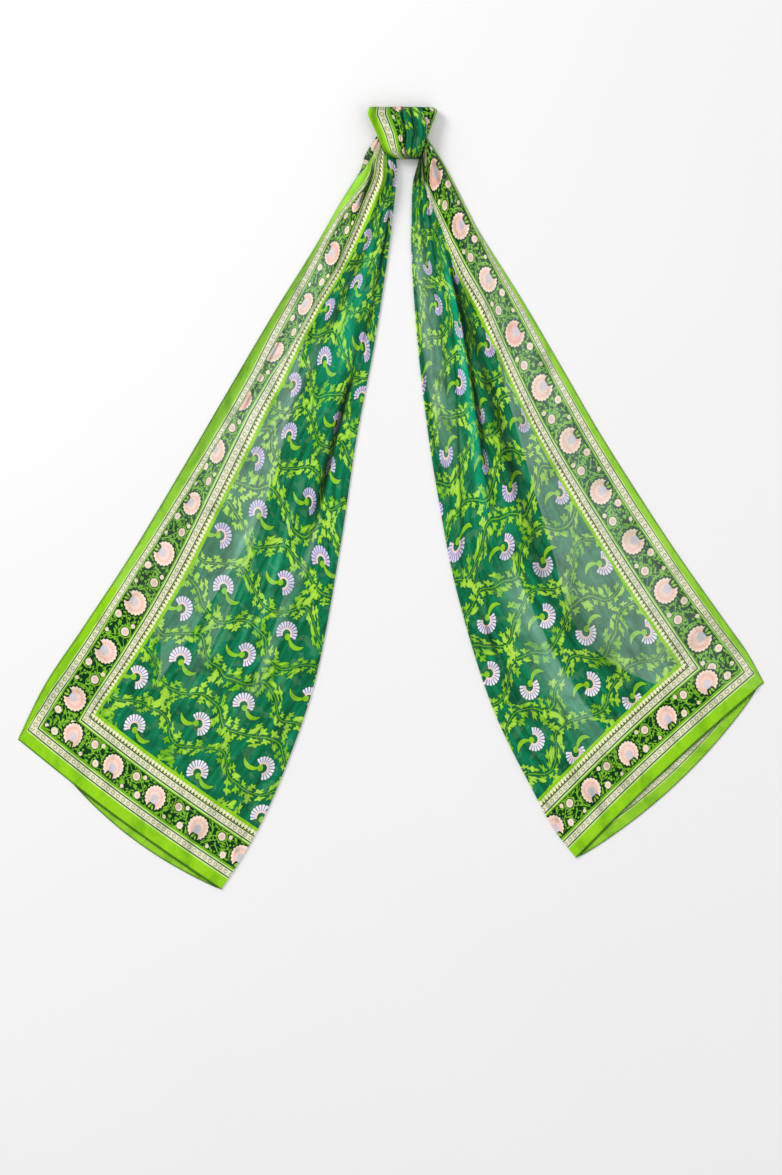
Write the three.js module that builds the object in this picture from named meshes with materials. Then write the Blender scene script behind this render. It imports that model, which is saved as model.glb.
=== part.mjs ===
import * as THREE from 'three';

// A long sheer shawl, doubled lengthwise, knotted once at its middle and laid on a flat surface.
// Millimetres. +Z is up, +Y runs from the hems to the knot, and the surface is Z = 0.
// Each tail is one wall of cloth: an upper layer, a lengthwise fold at the inner edge, and an
// under layer that comes back below it. The knot is one turn of cloth round the hidden layers.

// ---------------------------------------------------------------- driving sizes
const WALL = 1.2;            // cloth of the tails, as a wall
const BAND_WALL = 1.5;       // gathered cloth of the knot's turn
const GAP = 0.3;             // clearance between layers and between pieces
const LAYER = WALL + GAP;    // height of one layer with the clearance above it
const RAMP = 10;             // width over which the upper layer climbs onto the under layer
const RAMP_CLEAR = 2;        // and how far before that layer's edge the climb ends
const EASE = 42;             // length over which a tail takes up the line of the band's edge
const SEAT = 0.9;            // from the band's edge to the middle of the tail's end

const BAND_LOW_Y = 398;      // lower end of the band
const BAND_HIGH_Y = 460;     // upper end of the band
const BAND_HEIGHT = 19.5;    // height of the band's face at its edges, below its gathers
const BAND_CROWN = 3.2;      // how much higher the middle of its face stands
const EAR_LOW_Y = 424.6;     // the fold that stands out to the right behind the band
const EAR_HIGH_Y = 459.5;
const EAR_HEIGHT = 17;

// ---------------------------------------------------------------- tables
const table = (columns, rows) =>
  rows.map((row) => Object.fromEntries(columns.map((name, k) => [name, row[k]])));

// One row per section of a tail, from the knot to the hem. A section runs from the outer,
// open edge to the inner fold. bow: how far its middle stands out towards the hem. lap: how far
// the under layer stands out beyond the upper one. rise: height of the gathers under the
// upper layer. tuck: how far the under layer's own outer edge lies inside the upper layer's.
const SECTION = ['outerX', 'outerY', 'innerX', 'innerY', 'bow', 'lap', 'rise', 'tuck'];

const LEFT_SECTIONS = table(SECTION, [
  [-17, 425.5, 7.3, 397.8, 0, 0, 12, 7],
  [-30, 404, 8, 384, 3, 0, 11.5, 9],
  [-37, 383, 6, 365, 2, 0, 10.5, 11],
  [-60, 346, 2, 327, 0, 0, 8, 16],
  [-92, 291, -6, 267, 0, 0, 4.5, 27],
  [-140, 214, -20, 177, 0, 0, 1.8, 45],
  [-196, 119, -41, 66, 0, 0, 0.6, 80],
  [-251, 25, -60, -61, 0, 0, 0, 107],
  [-308, -70, -88, -211, 0, 0, 0, 110],
  [-362, -152, -125, -321, 1, 1, 0, 110],
  [-408, -221, -162, -402, 2, 3.5, 0, 108],
  [-440, -286, -200, -463, 3.5, 5.5, 0, 92],
]);

const RIGHT_SECTIONS = table(SECTION, [
  [42.5, 424, 32.5, 397.8, 0, 0, 11.5, 6],
  [53, 408, 28.5, 384, 2, 0, 11, 8],
  [67, 384, 25, 366, 2, 0, 10, 10],
  [90, 339, 24, 327, 0, 0, 8, 15],
  [107, 308, 24, 283, 0, 0, 5.5, 24],
  [155, 232, 30, 194, 0, 0, 2.2, 46],
  [199, 157, 40, 101, 0, 0, 0.8, 70],
  [243, 81, 55, 2, 0, 0, 0, 92],
  [290, 6, 78, -114, 0, 0, 0, 118],
  [340, -70, 119, -247, 0, 0, 0, 148],
  [393, -145, 170, -352, -1, 7, 0, 112],
  [420, -183, 192, -392, -2, 15, 0, 60],
  [440, -219, 218, -426, -4, 21, 0, 12],
]);

// One row per pleat of a tail's upper layer. start and end: place across the section, as a share
// from the outer edge, where the pleat begins and where it dies away. from and to: distances
// from the knot. high: height at its start. half and spread: half its width at start and end.
const PLEAT = ['start', 'end', 'from', 'to', 'high', 'half', 'spread'];

const LEFT_PLEATS = table(PLEAT, [
  [0.12, 0.07, 0, 330, 3.6, 4.5, 11],
  [0.38, 0.32, 0, 520, 4.2, 5, 17],
  [0.61, 0.60, 0, 600, 4.2, 5, 22],
  [0.84, 0.72, 0, 640, 4.6, 5, 24],
  [0.90, 0.93, 90, 560, 2.6, 7, 12],
  [0.47, 0.62, 330, 840, 2.0, 16, 20],
  [0.66, 0.84, 420, 860, 2.0, 18, 22],
]);

const RIGHT_PLEATS = table(PLEAT, [
  [0.13, 0.08, 0, 320, 3.4, 3.8, 11],
  [0.38, 0.30, 0, 480, 4.0, 4.5, 17],
  [0.60, 0.86, 0, 600, 4.6, 4.5, 24],
  [0.85, 0.93, 0, 420, 3.2, 4, 11],
  [0.46, 0.52, 360, 790, 2.0, 18, 24],
  [0.62, 0.76, 460, 800, 2.0, 18, 22],
]);

// The band's two edges at points up its length, and the edge of the fold behind it.
const BAND_EDGES = table(['y', 'left', 'right'], [
  [398, 8, 32],
  [401, 0, 34],
  [406, -7, 36.5],
  [415, -11.5, 39],
  [426, -16, 42],
  [438, -22, 41],
  [450, -27.4, 38],
  [460, -25, 35],
]);

const EAR_EDGE = table(['y', 'right'], [
  [424.6, 43.8],
  [438, 48.5],
  [451, 54],
  [456, 55],
  [459.5, 51.5],
]);

// One row per roll of the gathers down the band. low and high: its middle as a share across the
// band at the band's lower and upper end. half: half its width as a share. lift: its height.
const BAND_ROLLS = table(['low', 'high', 'half', 'lift'], [
  [0.20, 0.17, 0.20, 2.6],
  [0.42, 0.46, 0.17, 3.5],
  [0.64, 0.69, 0.12, 2.4],
  [0.86, 0.89, 0.15, 3.2],
]);

// ---------------------------------------------------------------- working functions
const mix = (a, b, share) => a + (b - a) * share;
const clamp = (value, low, high) => Math.min(Math.max(value, low), high);
const smooth = (value) => {
  const x = clamp(value, 0, 1);
  return x * x * (3 - 2 * x);
};
// A rounded ridge: 1 at distance 0, falling to 0 at the half width.
const ridge = (distance, half) =>
  (Math.abs(distance) >= half ? 0 : Math.cos((Math.PI / 2) * (distance / half)) ** 2);

// Straight-line reading of a column of a table whose rows rise in y.
function readAt(rows, column, y) {
  const last = rows.length - 1;
  const k = clamp(rows.findIndex((row) => row.y >= y) - 1, 0, last - 1);
  const upper = y >= rows[last].y ? last - 1 : k;
  const share = clamp((y - rows[upper].y) / (rows[upper + 1].y - rows[upper].y), 0, 1);
  return mix(rows[upper][column], rows[upper + 1][column], share);
}

// Smooth (Catmull-Rom) reading of a column by row number, which may fall between rows.
function readSmooth(rows, column, place) {
  const k = clamp(Math.floor(place), 0, rows.length - 2);
  const x = place - k;
  const value = (n) => rows[clamp(n, 0, rows.length - 1)][column];
  const slopeA = (value(k + 1) - value(k - 1)) / 2;
  const slopeB = (value(k + 2) - value(k)) / 2;
  const [a, b] = [value(k), value(k + 1)];
  return a + x * (slopeA + x * (3 * (b - a) - 2 * slopeA - slopeB
    + x * (2 * (a - b) + slopeA + slopeB)));
}

// Adds to each row its distance from the first, measured down the middle of the sections.
function withDistance(rows) {
  let along = 0;
  return rows.map((row, k) => {
    const before = rows[Math.max(k - 1, 0)];
    const stepX = (row.outerX + row.innerX - before.outerX - before.innerX) / 2;
    const stepY = (row.outerY + row.innerY - before.outerY - before.innerY) / 2;
    along += Math.hypot(stepX, stepY);
    return { ...row, along };
  });
}

// ---------------------------------------------------------------- closed meshes
// Makes an indexed geometry and turns all its faces round if they point inwards.
function closedGeometry(points, faces) {
  const volume = faces.reduce((sum, [a, b, c]) => {
    const cross = new THREE.Vector3().crossVectors(points[b], points[c]);
    return sum + points[a].dot(cross) / 6;
  }, 0);
  const outward = volume >= 0 ? faces : faces.map(([a, b, c]) => [a, c, b]);
  const geometry = new THREE.BufferGeometry();
  geometry.setAttribute('position', new THREE.Float32BufferAttribute(
    points.flatMap((point) => point.toArray()), 3));
  geometry.setIndex(outward.flat());
  geometry.computeVertexNormals();
  return geometry;
}

// The solid between two grids of points. Rows are joined in order, and each row is joined back
// to its own start when it is a loop; the open edges of the grids are joined to each other.
function solidBetween(upper, lower, rowsAreLoops = false) {
  const rows = upper.length;
  const columns = upper[0].length;
  const points = [...upper.flat(), ...lower.flat()];
  const at = (side, i, j) => side * rows * columns + i * columns + (j % columns);
  const faces = [];
  const quad = (a, b, c, d) => faces.push([a, b, c], [a, c, d]);
  const spans = rowsAreLoops ? columns : columns - 1;
  for (let i = 0; i < rows - 1; i += 1) {
    for (let j = 0; j < spans; j += 1) {
      quad(at(0, i, j), at(0, i, j + 1), at(0, i + 1, j + 1), at(0, i + 1, j));
      quad(at(1, i, j), at(1, i + 1, j), at(1, i + 1, j + 1), at(1, i, j + 1));
    }
  }
  for (let j = 0; j < spans; j += 1) {
    quad(at(0, 0, j + 1), at(0, 0, j), at(1, 0, j), at(1, 0, j + 1));
    quad(at(0, rows - 1, j), at(0, rows - 1, j + 1), at(1, rows - 1, j + 1), at(1, rows - 1, j));
  }
  for (let i = 0; i < rows - 1 && !rowsAreLoops; i += 1) {
    quad(at(0, i, 0), at(0, i + 1, 0), at(1, i + 1, 0), at(1, i, 0));
    quad(at(0, i + 1, columns - 1), at(0, i, columns - 1),
      at(1, i, columns - 1), at(1, i + 1, columns - 1));
  }
  return closedGeometry(points, faces);
}

// The solid skinned over a row of loops, closed at each end to the middle of its last loop.
function solidThrough(loops) {
  const size = loops[0].length;
  const points = loops.flat();
  const faces = [];
  for (let i = 0; i < loops.length - 1; i += 1) {
    for (let j = 0; j < size; j += 1) {
      const [a, b] = [i * size + j, i * size + ((j + 1) % size)];
      faces.push([a, b, b + size], [a, b + size, a + size]);
    }
  }
  const close = (loop, start, turned) => {
    const middle = loop.reduce((sum, point) => sum.add(point), new THREE.Vector3());
    const centre = points.push(middle.divideScalar(size)) - 1;
    for (let j = 0; j < size; j += 1) {
      const [a, b] = [start + j, start + ((j + 1) % size)];
      faces.push(turned ? [centre, b, a] : [centre, a, b]);
    }
  };
  close(loops[0], 0, true);
  close(loops[loops.length - 1], (loops.length - 1) * size, false);
  return closedGeometry(points, faces);
}

// Moves each point of a grid along the surface's own normal.
function offsetGrid(grid, distance) {
  const rows = grid.length;
  const columns = grid[0].length;
  return grid.map((row, i) => row.map((point, j) => {
    const down = grid[Math.min(i + 1, rows - 1)][j].clone().sub(grid[Math.max(i - 1, 0)][j]);
    const across = row[Math.min(j + 1, columns - 1)].clone().sub(row[Math.max(j - 1, 0)]);
    const normal = down.cross(across).normalize();
    return point.clone().addScaledVector(normal, distance);
  }));
}

// ---------------------------------------------------------------- the tails
const OUTER_COLUMNS = 7;     // columns of the upper layer outside the climb
const CLIMB_COLUMNS = 3;     // over the climb onto the under layer
const INNER_COLUMNS = 17;    // and from there to the lengthwise fold
const TURN_STEPS = 4;        // flats round that fold
const UNDER_COLUMNS = 8;     // columns of the under layer
const STEPS_PER_SECTION = 2; // rows of the grid for each row of the table
const DOME_FULLNESS = 0.6;   // 1 is a plain half wave over the gathers, less is fuller
const EDGE_SHARE = 0.05;     // pleats die away over this share at each side
const PLEAT_LEAD = 0.3;      // a pleat rises over this share of its length before its start
const PLEAT_FADE = 1.15;     // and falls by this power of what is left of it

// A tail's description: its sections, pleats, and the band edge that its upper end follows.
function makeTail(sections, pleats, rimOffset, edgeColumn) {
  return { sections: withDistance(sections), pleats, rimOffset, edgeColumn };
}

// Reads all that is needed of one section of a tail.
function readSection(tail, place) {
  const read = (column) => readSmooth(tail.sections, column, place);
  const outer = new THREE.Vector2(read('outerX'), read('outerY'));
  const inner = new THREE.Vector2(read('innerX'), read('innerY'));
  const across = inner.clone().sub(outer);
  const width = across.length();
  across.divideScalar(width);
  const hemward = new THREE.Vector2(-across.y, across.x);
  if (hemward.y > 0) hemward.negate();
  const names = ['bow', 'lap', 'rise', 'tuck', 'along'];
  const values = Object.fromEntries(names.map((name) => [name, read(name)]));
  return { outer, across, width, hemward, ...values };
}

// The place in plan of a point at a share across a section. Near the knot it eases to the edge
// of the band, and the layer bulges towards the hem by the amount given.
function planPoint(tail, section, share, bulge) {
  const reach = share * section.width;
  const point = section.outer.clone().addScaledVector(section.across, reach);
  point.addScaledVector(section.hemward, bulge * Math.sin(Math.PI * clamp(share, 0, 1)));
  const ease = clamp(1 - section.along / EASE, 0, 1) ** 2;
  const [first] = tail.sections;
  const y = mix(first.outerY, first.innerY, share);
  const lineX = mix(first.outerX, first.innerX, share);
  point.x += ease * (readAt(BAND_EDGES, tail.edgeColumn, y) + tail.rimOffset - lineX);
  return point;
}

// Where the upper layer climbs onto the under layer, as distances from the outer edge.
function climbOf(section) {
  const to = section.tuck - Math.min(RAMP_CLEAR, section.tuck / 4);
  return { from: to - Math.min(RAMP, section.tuck / 2), to };
}

// Height that the pleats add at a distance from the outer edge of a section.
function pleatHeight(tail, section, reach) {
  return tail.pleats.reduce((sum, pleat) => {
    const run = (section.along - pleat.from) / (pleat.to - pleat.from);
    if (run <= -PLEAT_LEAD || run >= 1) return sum;
    const shown = run < 0 ? smooth(1 + run / PLEAT_LEAD) : (1 - run) ** PLEAT_FADE;
    const place = clamp(run, 0, 1);
    const middle = mix(pleat.start, pleat.end, place) * section.width;
    const half = mix(pleat.half, pleat.spread, place);
    return sum + pleat.high * shown * ridge(reach - middle, half);
  }, 0);
}

// Height of the middle of the upper layer's wall: flat on the surface at its outer edge, one
// layer up where it lies on the under layer, domed over the gathers, and raised in pleats.
function upperHeight(tail, section, share, pleated) {
  const reach = share * section.width;
  const climb = climbOf(section);
  const lifted = LAYER * smooth((reach - climb.from) / (climb.to - climb.from));
  const round = Math.sin(Math.PI * clamp(share, 0, 1)) ** DOME_FULLNESS;
  const height = WALL / 2 + lifted + Math.max(section.rise, 0) * round;
  const calm = smooth(share / EDGE_SHARE) * smooth((1 - share) / EDGE_SHARE);
  return height + (pleated ? calm * pleatHeight(tail, section, reach) : 0);
}

// Shares across the section for the columns of the upper layer's grid, closer at the climb.
function upperShares(section, last) {
  const climb = climbOf(section);
  const [from, to] = [climb.from / section.width, climb.to / section.width];
  const spread = (start, end, count) =>
    Array.from({ length: count }, (_, k) => mix(start, end, k / count));
  return [
    ...spread(0, from, OUTER_COLUMNS),
    ...spread(from, to, CLIMB_COLUMNS),
    ...spread(to, last, INNER_COLUMNS),
    last,
  ];
}

// Middle surface of a tail's one wall, as rows across it: upper layer, fold, under layer.
function tailSurface(tail) {
  const count = (tail.sections.length - 1) * STEPS_PER_SECTION;
  return Array.from({ length: count + 1 }, (_, i) => {
    const section = readSection(tail, i / STEPS_PER_SECTION);
    const radius = LAYER / 2;
    const last = 1 - (radius + WALL / 2) / section.width;
    const upper = upperShares(section, last).map((share) => {
      const plan = planPoint(tail, section, share, section.bow);
      return new THREE.Vector3(plan.x, plan.y, upperHeight(tail, section, share, true));
    });
    const edge = upper[upper.length - 1];
    const top = edge.z - WALL / 2;
    const turn = Array.from({ length: TURN_STEPS }, (_unused, k) => {
      const angle = (Math.PI * (k + 1)) / TURN_STEPS;
      const out = radius * Math.sin(angle);
      const z = WALL / 2 + (top / 2) * (1 + Math.cos(angle));
      return new THREE.Vector3(
        edge.x + section.across.x * out, edge.y + section.across.y * out, z);
    });
    const under = Array.from({ length: UNDER_COLUMNS }, (_unused, k) => {
      const share = mix(last, section.tuck / section.width, (k + 1) / UNDER_COLUMNS);
      const plan = planPoint(tail, section, share, section.bow + section.lap);
      return new THREE.Vector3(plan.x, plan.y, WALL / 2);
    });
    return [...upper, ...turn, ...under];
  });
}

function tailGeometry(tail) {
  const middle = tailSurface(tail);
  return solidBetween(offsetGrid(middle, WALL / 2), offsetGrid(middle, -WALL / 2));
}

// The gathers hidden inside the upper end of a tail: one rounded solid that fills the space
// under the domed upper layer, over the under layer.
const GATHER_COLUMNS = 12;
const GATHER_EDGE = 0.13;    // share of the section left free at each side
const GATHER_LEAST = 2.4;    // the gathers end where the dome is lower than this

function gatherGeometry(tail) {
  const count = (tail.sections.length - 1) * STEPS_PER_SECTION;
  const sections = Array.from({ length: count + 1 }, (_, i) =>
    readSection(tail, i / STEPS_PER_SECTION));
  const inside = sections.filter((section) => section.rise >= GATHER_LEAST);
  const shares = Array.from({ length: GATHER_COLUMNS + 1 }, (_, k) =>
    mix(GATHER_EDGE, 1 - GATHER_EDGE, k / GATHER_COLUMNS));
  const dome = inside.map((section) => shares.map((share) => {
    const plan = planPoint(tail, section, share, section.bow);
    return new THREE.Vector3(plan.x, plan.y, upperHeight(tail, section, share, false));
  }));
  const downward = tail.sections[0].innerX > tail.sections[0].outerX ? -1 : 1;
  const lid = offsetGrid(dome, downward * (WALL / 2 + GAP));
  const floor = lid.map((row) => row.map((point) =>
    new THREE.Vector3(point.x, point.y, LAYER)));
  return solidBetween(lid, floor);
}

// ---------------------------------------------------------------- the knot
const CORNER_STEPS = 4;      // flats round each corner of the knot's loops
const FRONT_STEPS = 6;       // and along its front

// A rounded box loop in the plane across the knot, drawn in by an inset: points all round with
// how far each faces up. Its lower corners are tight, because the cloth is pressed flat there.
function roundedLoop(size, inset) {
  const [lowY, highY] = [size.lowY + inset, size.highY - inset];
  const [lowZ, highZ] = [inset, size.height - inset];
  const top = size.topRadius - inset;
  const base = size.baseRadius - inset;
  const corner = (y, z, radius, turns) =>
    Array.from({ length: CORNER_STEPS + 1 }, (_, k) => {
      const angle = (Math.PI / 2) * (turns + k / CORNER_STEPS);
      const facing = Math.sin(angle);
      return { y: y + radius * Math.cos(angle), z: z + radius * facing, facing };
    });
  const front = Array.from({ length: FRONT_STEPS - 1 }, (_, k) => (
    { y: mix(highY - top, lowY + top, (k + 1) / FRONT_STEPS), z: highZ, facing: 1 }));
  return [
    ...corner(lowY + base, lowZ + base, base, 2),
    ...corner(highY - base, lowZ + base, base, 3),
    ...corner(highY - top, highZ - top, top, 0),
    ...front,
    ...corner(lowY + top, highZ - top, top, 1),
  ];
}

const BAND_SIZE = {
  lowY: BAND_LOW_Y, highY: BAND_HIGH_Y, height: BAND_HEIGHT, topRadius: 13, baseRadius: 3,
};
const EAR_SIZE = {
  lowY: EAR_LOW_Y, highY: EAR_HIGH_Y, height: EAR_HEIGHT, topRadius: 7.5, baseRadius: 3,
};

// How far the band's face stands up at a share across it and a share up it: a crown in the
// middle, with the rolls of the gathers on it.
function faceLift(share, up) {
  const rolls = BAND_ROLLS.map((roll) =>
    roll.lift * ridge(share - mix(roll.low, roll.high, up), roll.half));
  return BAND_CROWN * Math.sin(Math.PI * share) * Math.sin(Math.PI * up) + Math.max(...rolls);
}

const BAND_COLUMNS = 18;

function bandLoops(inset) {
  const loop = roundedLoop(BAND_SIZE, inset);
  return Array.from({ length: BAND_COLUMNS + 1 }, (_, i) => {
    const share = i / BAND_COLUMNS;
    return loop.map((point) => {
      const left = readAt(BAND_EDGES, 'left', point.y);
      const right = readAt(BAND_EDGES, 'right', point.y);
      const up = (point.y - BAND_LOW_Y) / (BAND_HIGH_Y - BAND_LOW_Y);
      const lift = faceLift(share, up) * Math.max(point.facing, 0);
      return new THREE.Vector3(mix(left, right, share), point.y, point.z + lift);
    });
  });
}

const EAR_COLUMNS = 4;

function earLoops(inset, reach) {
  const loop = roundedLoop(EAR_SIZE, inset);
  return Array.from({ length: EAR_COLUMNS + 1 }, (_, i) => loop.map((point) => {
    const left = readAt(BAND_EDGES, 'right', point.y) + GAP;
    const right = readAt(EAR_EDGE, 'right', point.y);
    return new THREE.Vector3(
      mix(left, right, reach * (i / EAR_COLUMNS)), point.y, point.z);
  }));
}

// The layers hidden in the knot, as one rounded solid: it fills the band, then steps down into
// the fold behind it and stops just short of that fold's open side.
function coreLoops() {
  const inset = BAND_WALL + GAP;
  const loop = roundedLoop(BAND_SIZE, inset);
  const inBand = [0, 0.25, 0.5, 0.75, 1].map((share) => loop.map((point) => {
    const left = readAt(BAND_EDGES, 'left', point.y);
    const right = readAt(BAND_EDGES, 'right', point.y);
    return new THREE.Vector3(mix(left, right, share), point.y, point.z);
  }));
  return [...inBand, ...earLoops(inset, 0.7)];
}

// ---------------------------------------------------------------- the shawl
const DARK_GREEN = 0x15543f;
const EMERALD = 0x2f9a78;
const LIME = 0xa8c46a;

const cloth = (color) => new THREE.MeshStandardMaterial({ color, roughness: 0.7, metalness: 0 });

function piece(name, geometry, color) {
  const mesh = new THREE.Mesh(geometry, cloth(color));
  mesh.name = name;
  return mesh;
}

const leftTail = makeTail(LEFT_SECTIONS, LEFT_PLEATS, -SEAT, 'left');
const rightTail = makeTail(RIGHT_SECTIONS, RIGHT_PLEATS, SEAT, 'right');

const shawl = new THREE.Group();
shawl.add(
  piece('left_tail', tailGeometry(leftTail), EMERALD),
  piece('right_tail', tailGeometry(rightTail), EMERALD),
  piece('left_gathers', gatherGeometry(leftTail), DARK_GREEN),
  piece('right_gathers', gatherGeometry(rightTail), DARK_GREEN),
  piece('knot_band', solidBetween(bandLoops(0), bandLoops(BAND_WALL), true), LIME),
  piece('knot_ear', solidBetween(earLoops(0, 1), earLoops(BAND_WALL, 1), true), LIME),
  piece('knot_core', solidThrough(coreLoops()), DARK_GREEN),
);

// The origin is under the middle of the whole, on the surface that it lies on.
const bounds = new THREE.Box3().setFromObject(shawl);
const middle = bounds.getCenter(new THREE.Vector3());
shawl.position.set(-middle.x, -middle.y, -bounds.min.z);
shawl.updateMatrixWorld(true);

export default shawl;
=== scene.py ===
import functools
import math
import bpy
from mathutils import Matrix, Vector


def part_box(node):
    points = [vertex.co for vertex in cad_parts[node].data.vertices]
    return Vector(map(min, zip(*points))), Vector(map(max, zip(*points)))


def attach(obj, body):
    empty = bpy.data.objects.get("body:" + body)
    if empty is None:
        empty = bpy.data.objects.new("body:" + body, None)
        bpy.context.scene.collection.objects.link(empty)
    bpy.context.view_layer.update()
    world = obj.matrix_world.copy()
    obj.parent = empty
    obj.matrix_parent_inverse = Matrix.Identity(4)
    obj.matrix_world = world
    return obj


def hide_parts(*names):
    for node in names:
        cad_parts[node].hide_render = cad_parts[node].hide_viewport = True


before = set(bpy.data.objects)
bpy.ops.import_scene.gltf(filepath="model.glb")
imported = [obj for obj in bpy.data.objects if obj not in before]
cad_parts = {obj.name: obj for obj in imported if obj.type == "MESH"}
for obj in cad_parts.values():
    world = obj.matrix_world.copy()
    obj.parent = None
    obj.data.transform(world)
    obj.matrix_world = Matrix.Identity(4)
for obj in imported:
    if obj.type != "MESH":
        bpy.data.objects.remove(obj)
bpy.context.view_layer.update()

from types import SimpleNamespace

import bpy
import numpy as np

# A long sheer printed shawl, doubled lengthwise, knotted once at its middle and laid flat.
# Tables and shapes are in millimetres, as a maker would chalk them out, and become metres where
# a mesh is made. +Y runs from the hems to the knot, and the surface is Z = 0.
MM = 0.001
ROW_SHIFT_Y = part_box("knot_band")[0].y / MM - 398.0   # the frame's Y less the tables' Y

# The cloth and its layers
WALL = 1.2                  # height that one layer takes up on the surface
LAYER = 1.5                 # height of one layer with the clearance above it
HALF_CLOTH = 0.28           # half the cloth's thickness
HALF_ROLL = 0.62            # half the thickness of the rolled hem
ROLL_MIDDLE, ROLL_SPREAD = 0.6, 0.55    # where the roll is thickest, and how soon it thins
RAMP, RAMP_CLEAR = 6.0, 1.0             # how the upper layer climbs onto the under layer
EASE, SEAT = 42.0, 0.9                  # how a tail takes up the line of the band's edge
DOME_FULLNESS = 0.6         # power of the sine that domes a tail near the knot
CALM_SHARE = 0.05           # share across, at each edge, over which pleats and creases grow
LEAST_RELIEF = -0.2         # how far a crease may sink

# The cloth laid flat again
DRAWN_IN = 0.8              # the cloth lies drawn in across the row to this share of its width
UNDER_FULLNESS = 1.17       # the under layer's cloth to the width that it takes up
BORDER_OPEN = 95.0          # how much of the under layer's edge lies open
OPEN_FROM, OPEN_OVER = 115.0, 90.0      # widths over which the under layer opens
TURNED_SHARE = 0.34         # how far across the selvedge is turned over, next to the knot
TURNED_FROM, TURNED_STEP = 63.0, 0.6    # the print there: where it starts, cloth to the mm
# painted shade on the selvedge where it is turned over next to the knot
TURNED_PAINTED_SHADE = -0.35
HEM_FIRST_FLOWER, HEM_FLOWERS = 71.5, 74.0          # flowers along the hem's border
TURNED_PRINT_A, TURNED_PRINT_B = 425.0, 1137.0      # the print runs on past the knot

# Layers and shades as the shader reads them
DOUBLED = 9.0               # millimetres past an under layer's edge: doubled for certain
UNDER_SHEER, KNOT_SHEER = -0.6, -1.0    # below 0, because more layers lie behind
HEM_SHADE, HEM_SHADE_FROM, HEM_SHADE_HALF = -1.1, 0.9, 2.2  # the upper hem's, on the lap

# Columns, rows and stitches
ROWS, UPPER_COLUMNS, TURN_COLUMNS, UNDER_COLUMNS = 250, 118, 8, 52
EDGE_STEPS = np.array([0, 0.45, 1.0, 1.6, 2.4])     # columns and rows of a rolled hem
CLOSE_ROWS, CLOSE_ROWS_FROM = 21, 26.0              # closer rows near the hem
STITCH_PITCH, STITCH_HALF, STITCH_THICK = 2.4, 0.3, 0.26
STITCH_ENDS = ((-0.25, 0.1, -0.3), (1.7, 0.5, 0.45))    # in from the edge, up, along it

# The knot
BAND_FORM = (398.0, 460.0, 19.5, 13, 3, 8, 34)      # as rounded_loop says
BAND_CROWN, BAND_WALL, BAND_HALF_CLOTH = 3.2, 0.6, 0.4
BAND_COLUMNS, BAND_CURL = 84, 7                     # columns of its face, and of each edge
BAND_CURL_IN = 1.2
BAND_UP_FROM_HEM = 414.0
TUFT_SHARE, TUFT_HALF, TUFT_FROM, TUFT_OUT, TUFT_UP = 0.60, 0.09, 450.0, 3.4, 1.5
EAR_FORM = (424.6, 459.5, 17.0, 7.5, 3, 6, 12)
EAR_WALL, EAR_HALF_CLOTH, EAR_COLUMNS = 0.6, 0.35, 16
EAR_MIDDLE_Y, EAR_MIDDLE_Z, EAR_FROM_Y = 441.5, 8.5, 426.0
EAR_UP_FROM_HEM, EAR_FLOWER_Y = 436.0, 433.0
CORE_COLUMNS, CORE_INSET, CORE_MIDDLE_Y, CORE_MIDDLE_Z = 40, 1.9, 431.0, 8.6
LEAST_RADIUS = 0.3          # of the knot's tight lower corners


def table(names, rows):
    """Columns by name from rows of numbers."""
    return dict(zip(names.split(), np.array(rows, float).T))


SECTION = "outer_x outer_y inner_x inner_y bow lap rise tuck"
LEFT_SECTIONS = table(SECTION, [
    [-17, 425.5, 7.3, 397.8, 0, 0, 12, 7],
    [-30, 404, 8, 384, 3, 0, 11.5, 9],
    [-37, 383, 6, 365, 2, 0, 10.5, 11],
    [-60, 346, 2, 327, 0, 0, 8, 16],
    [-92, 291, -6, 267, 0, 0, 4.5, 27],
    [-140, 214, -20, 177, 0, 0, 1.8, 45],
    [-196, 119, -41, 66, 0, 0, 0.6, 80],
    [-251, 25, -60, -61, 0, 0, 0, 107],
    [-308, -70, -88, -211, 0, 0, 0, 110],
    [-362, -152, -125, -321, 1, 1, 0, 110],
    [-408, -221, -162, -402, 2, 6, 0, 105],
    [-440, -286, -200, -463, 4.5, 10, 0, 84],
])
RIGHT_SECTIONS = table(SECTION, [
    [42.5, 424, 32.5, 397.8, 0, 0, 11.5, 6],
    [53, 408, 28.5, 384, 2, 0, 11, 8],
    [67, 384, 25, 366, 2, 0, 10, 10],
    [90, 339, 24, 327, 0, 0, 8, 15],
    [107, 308, 24, 283, 0, 0, 5.5, 24],
    [155, 232, 30, 194, 0, 0, 2.2, 46],
    [199, 157, 40, 101, 0, 0, 0.8, 70],
    [243, 81, 55, 2, 0, 0, 0, 92],
    [290, 6, 78, -114, 0, 0, 0, 118],
    [340, -70, 119, -247, 0, 0, 0, 148],
    [393, -145, 170, -352, -1, 7, 0, 112],
    [420, -183, 192, -392, -2, 15, 0, 60],
    [440, -219, 218, -426, -4, 21, 0, 12],
])

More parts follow.
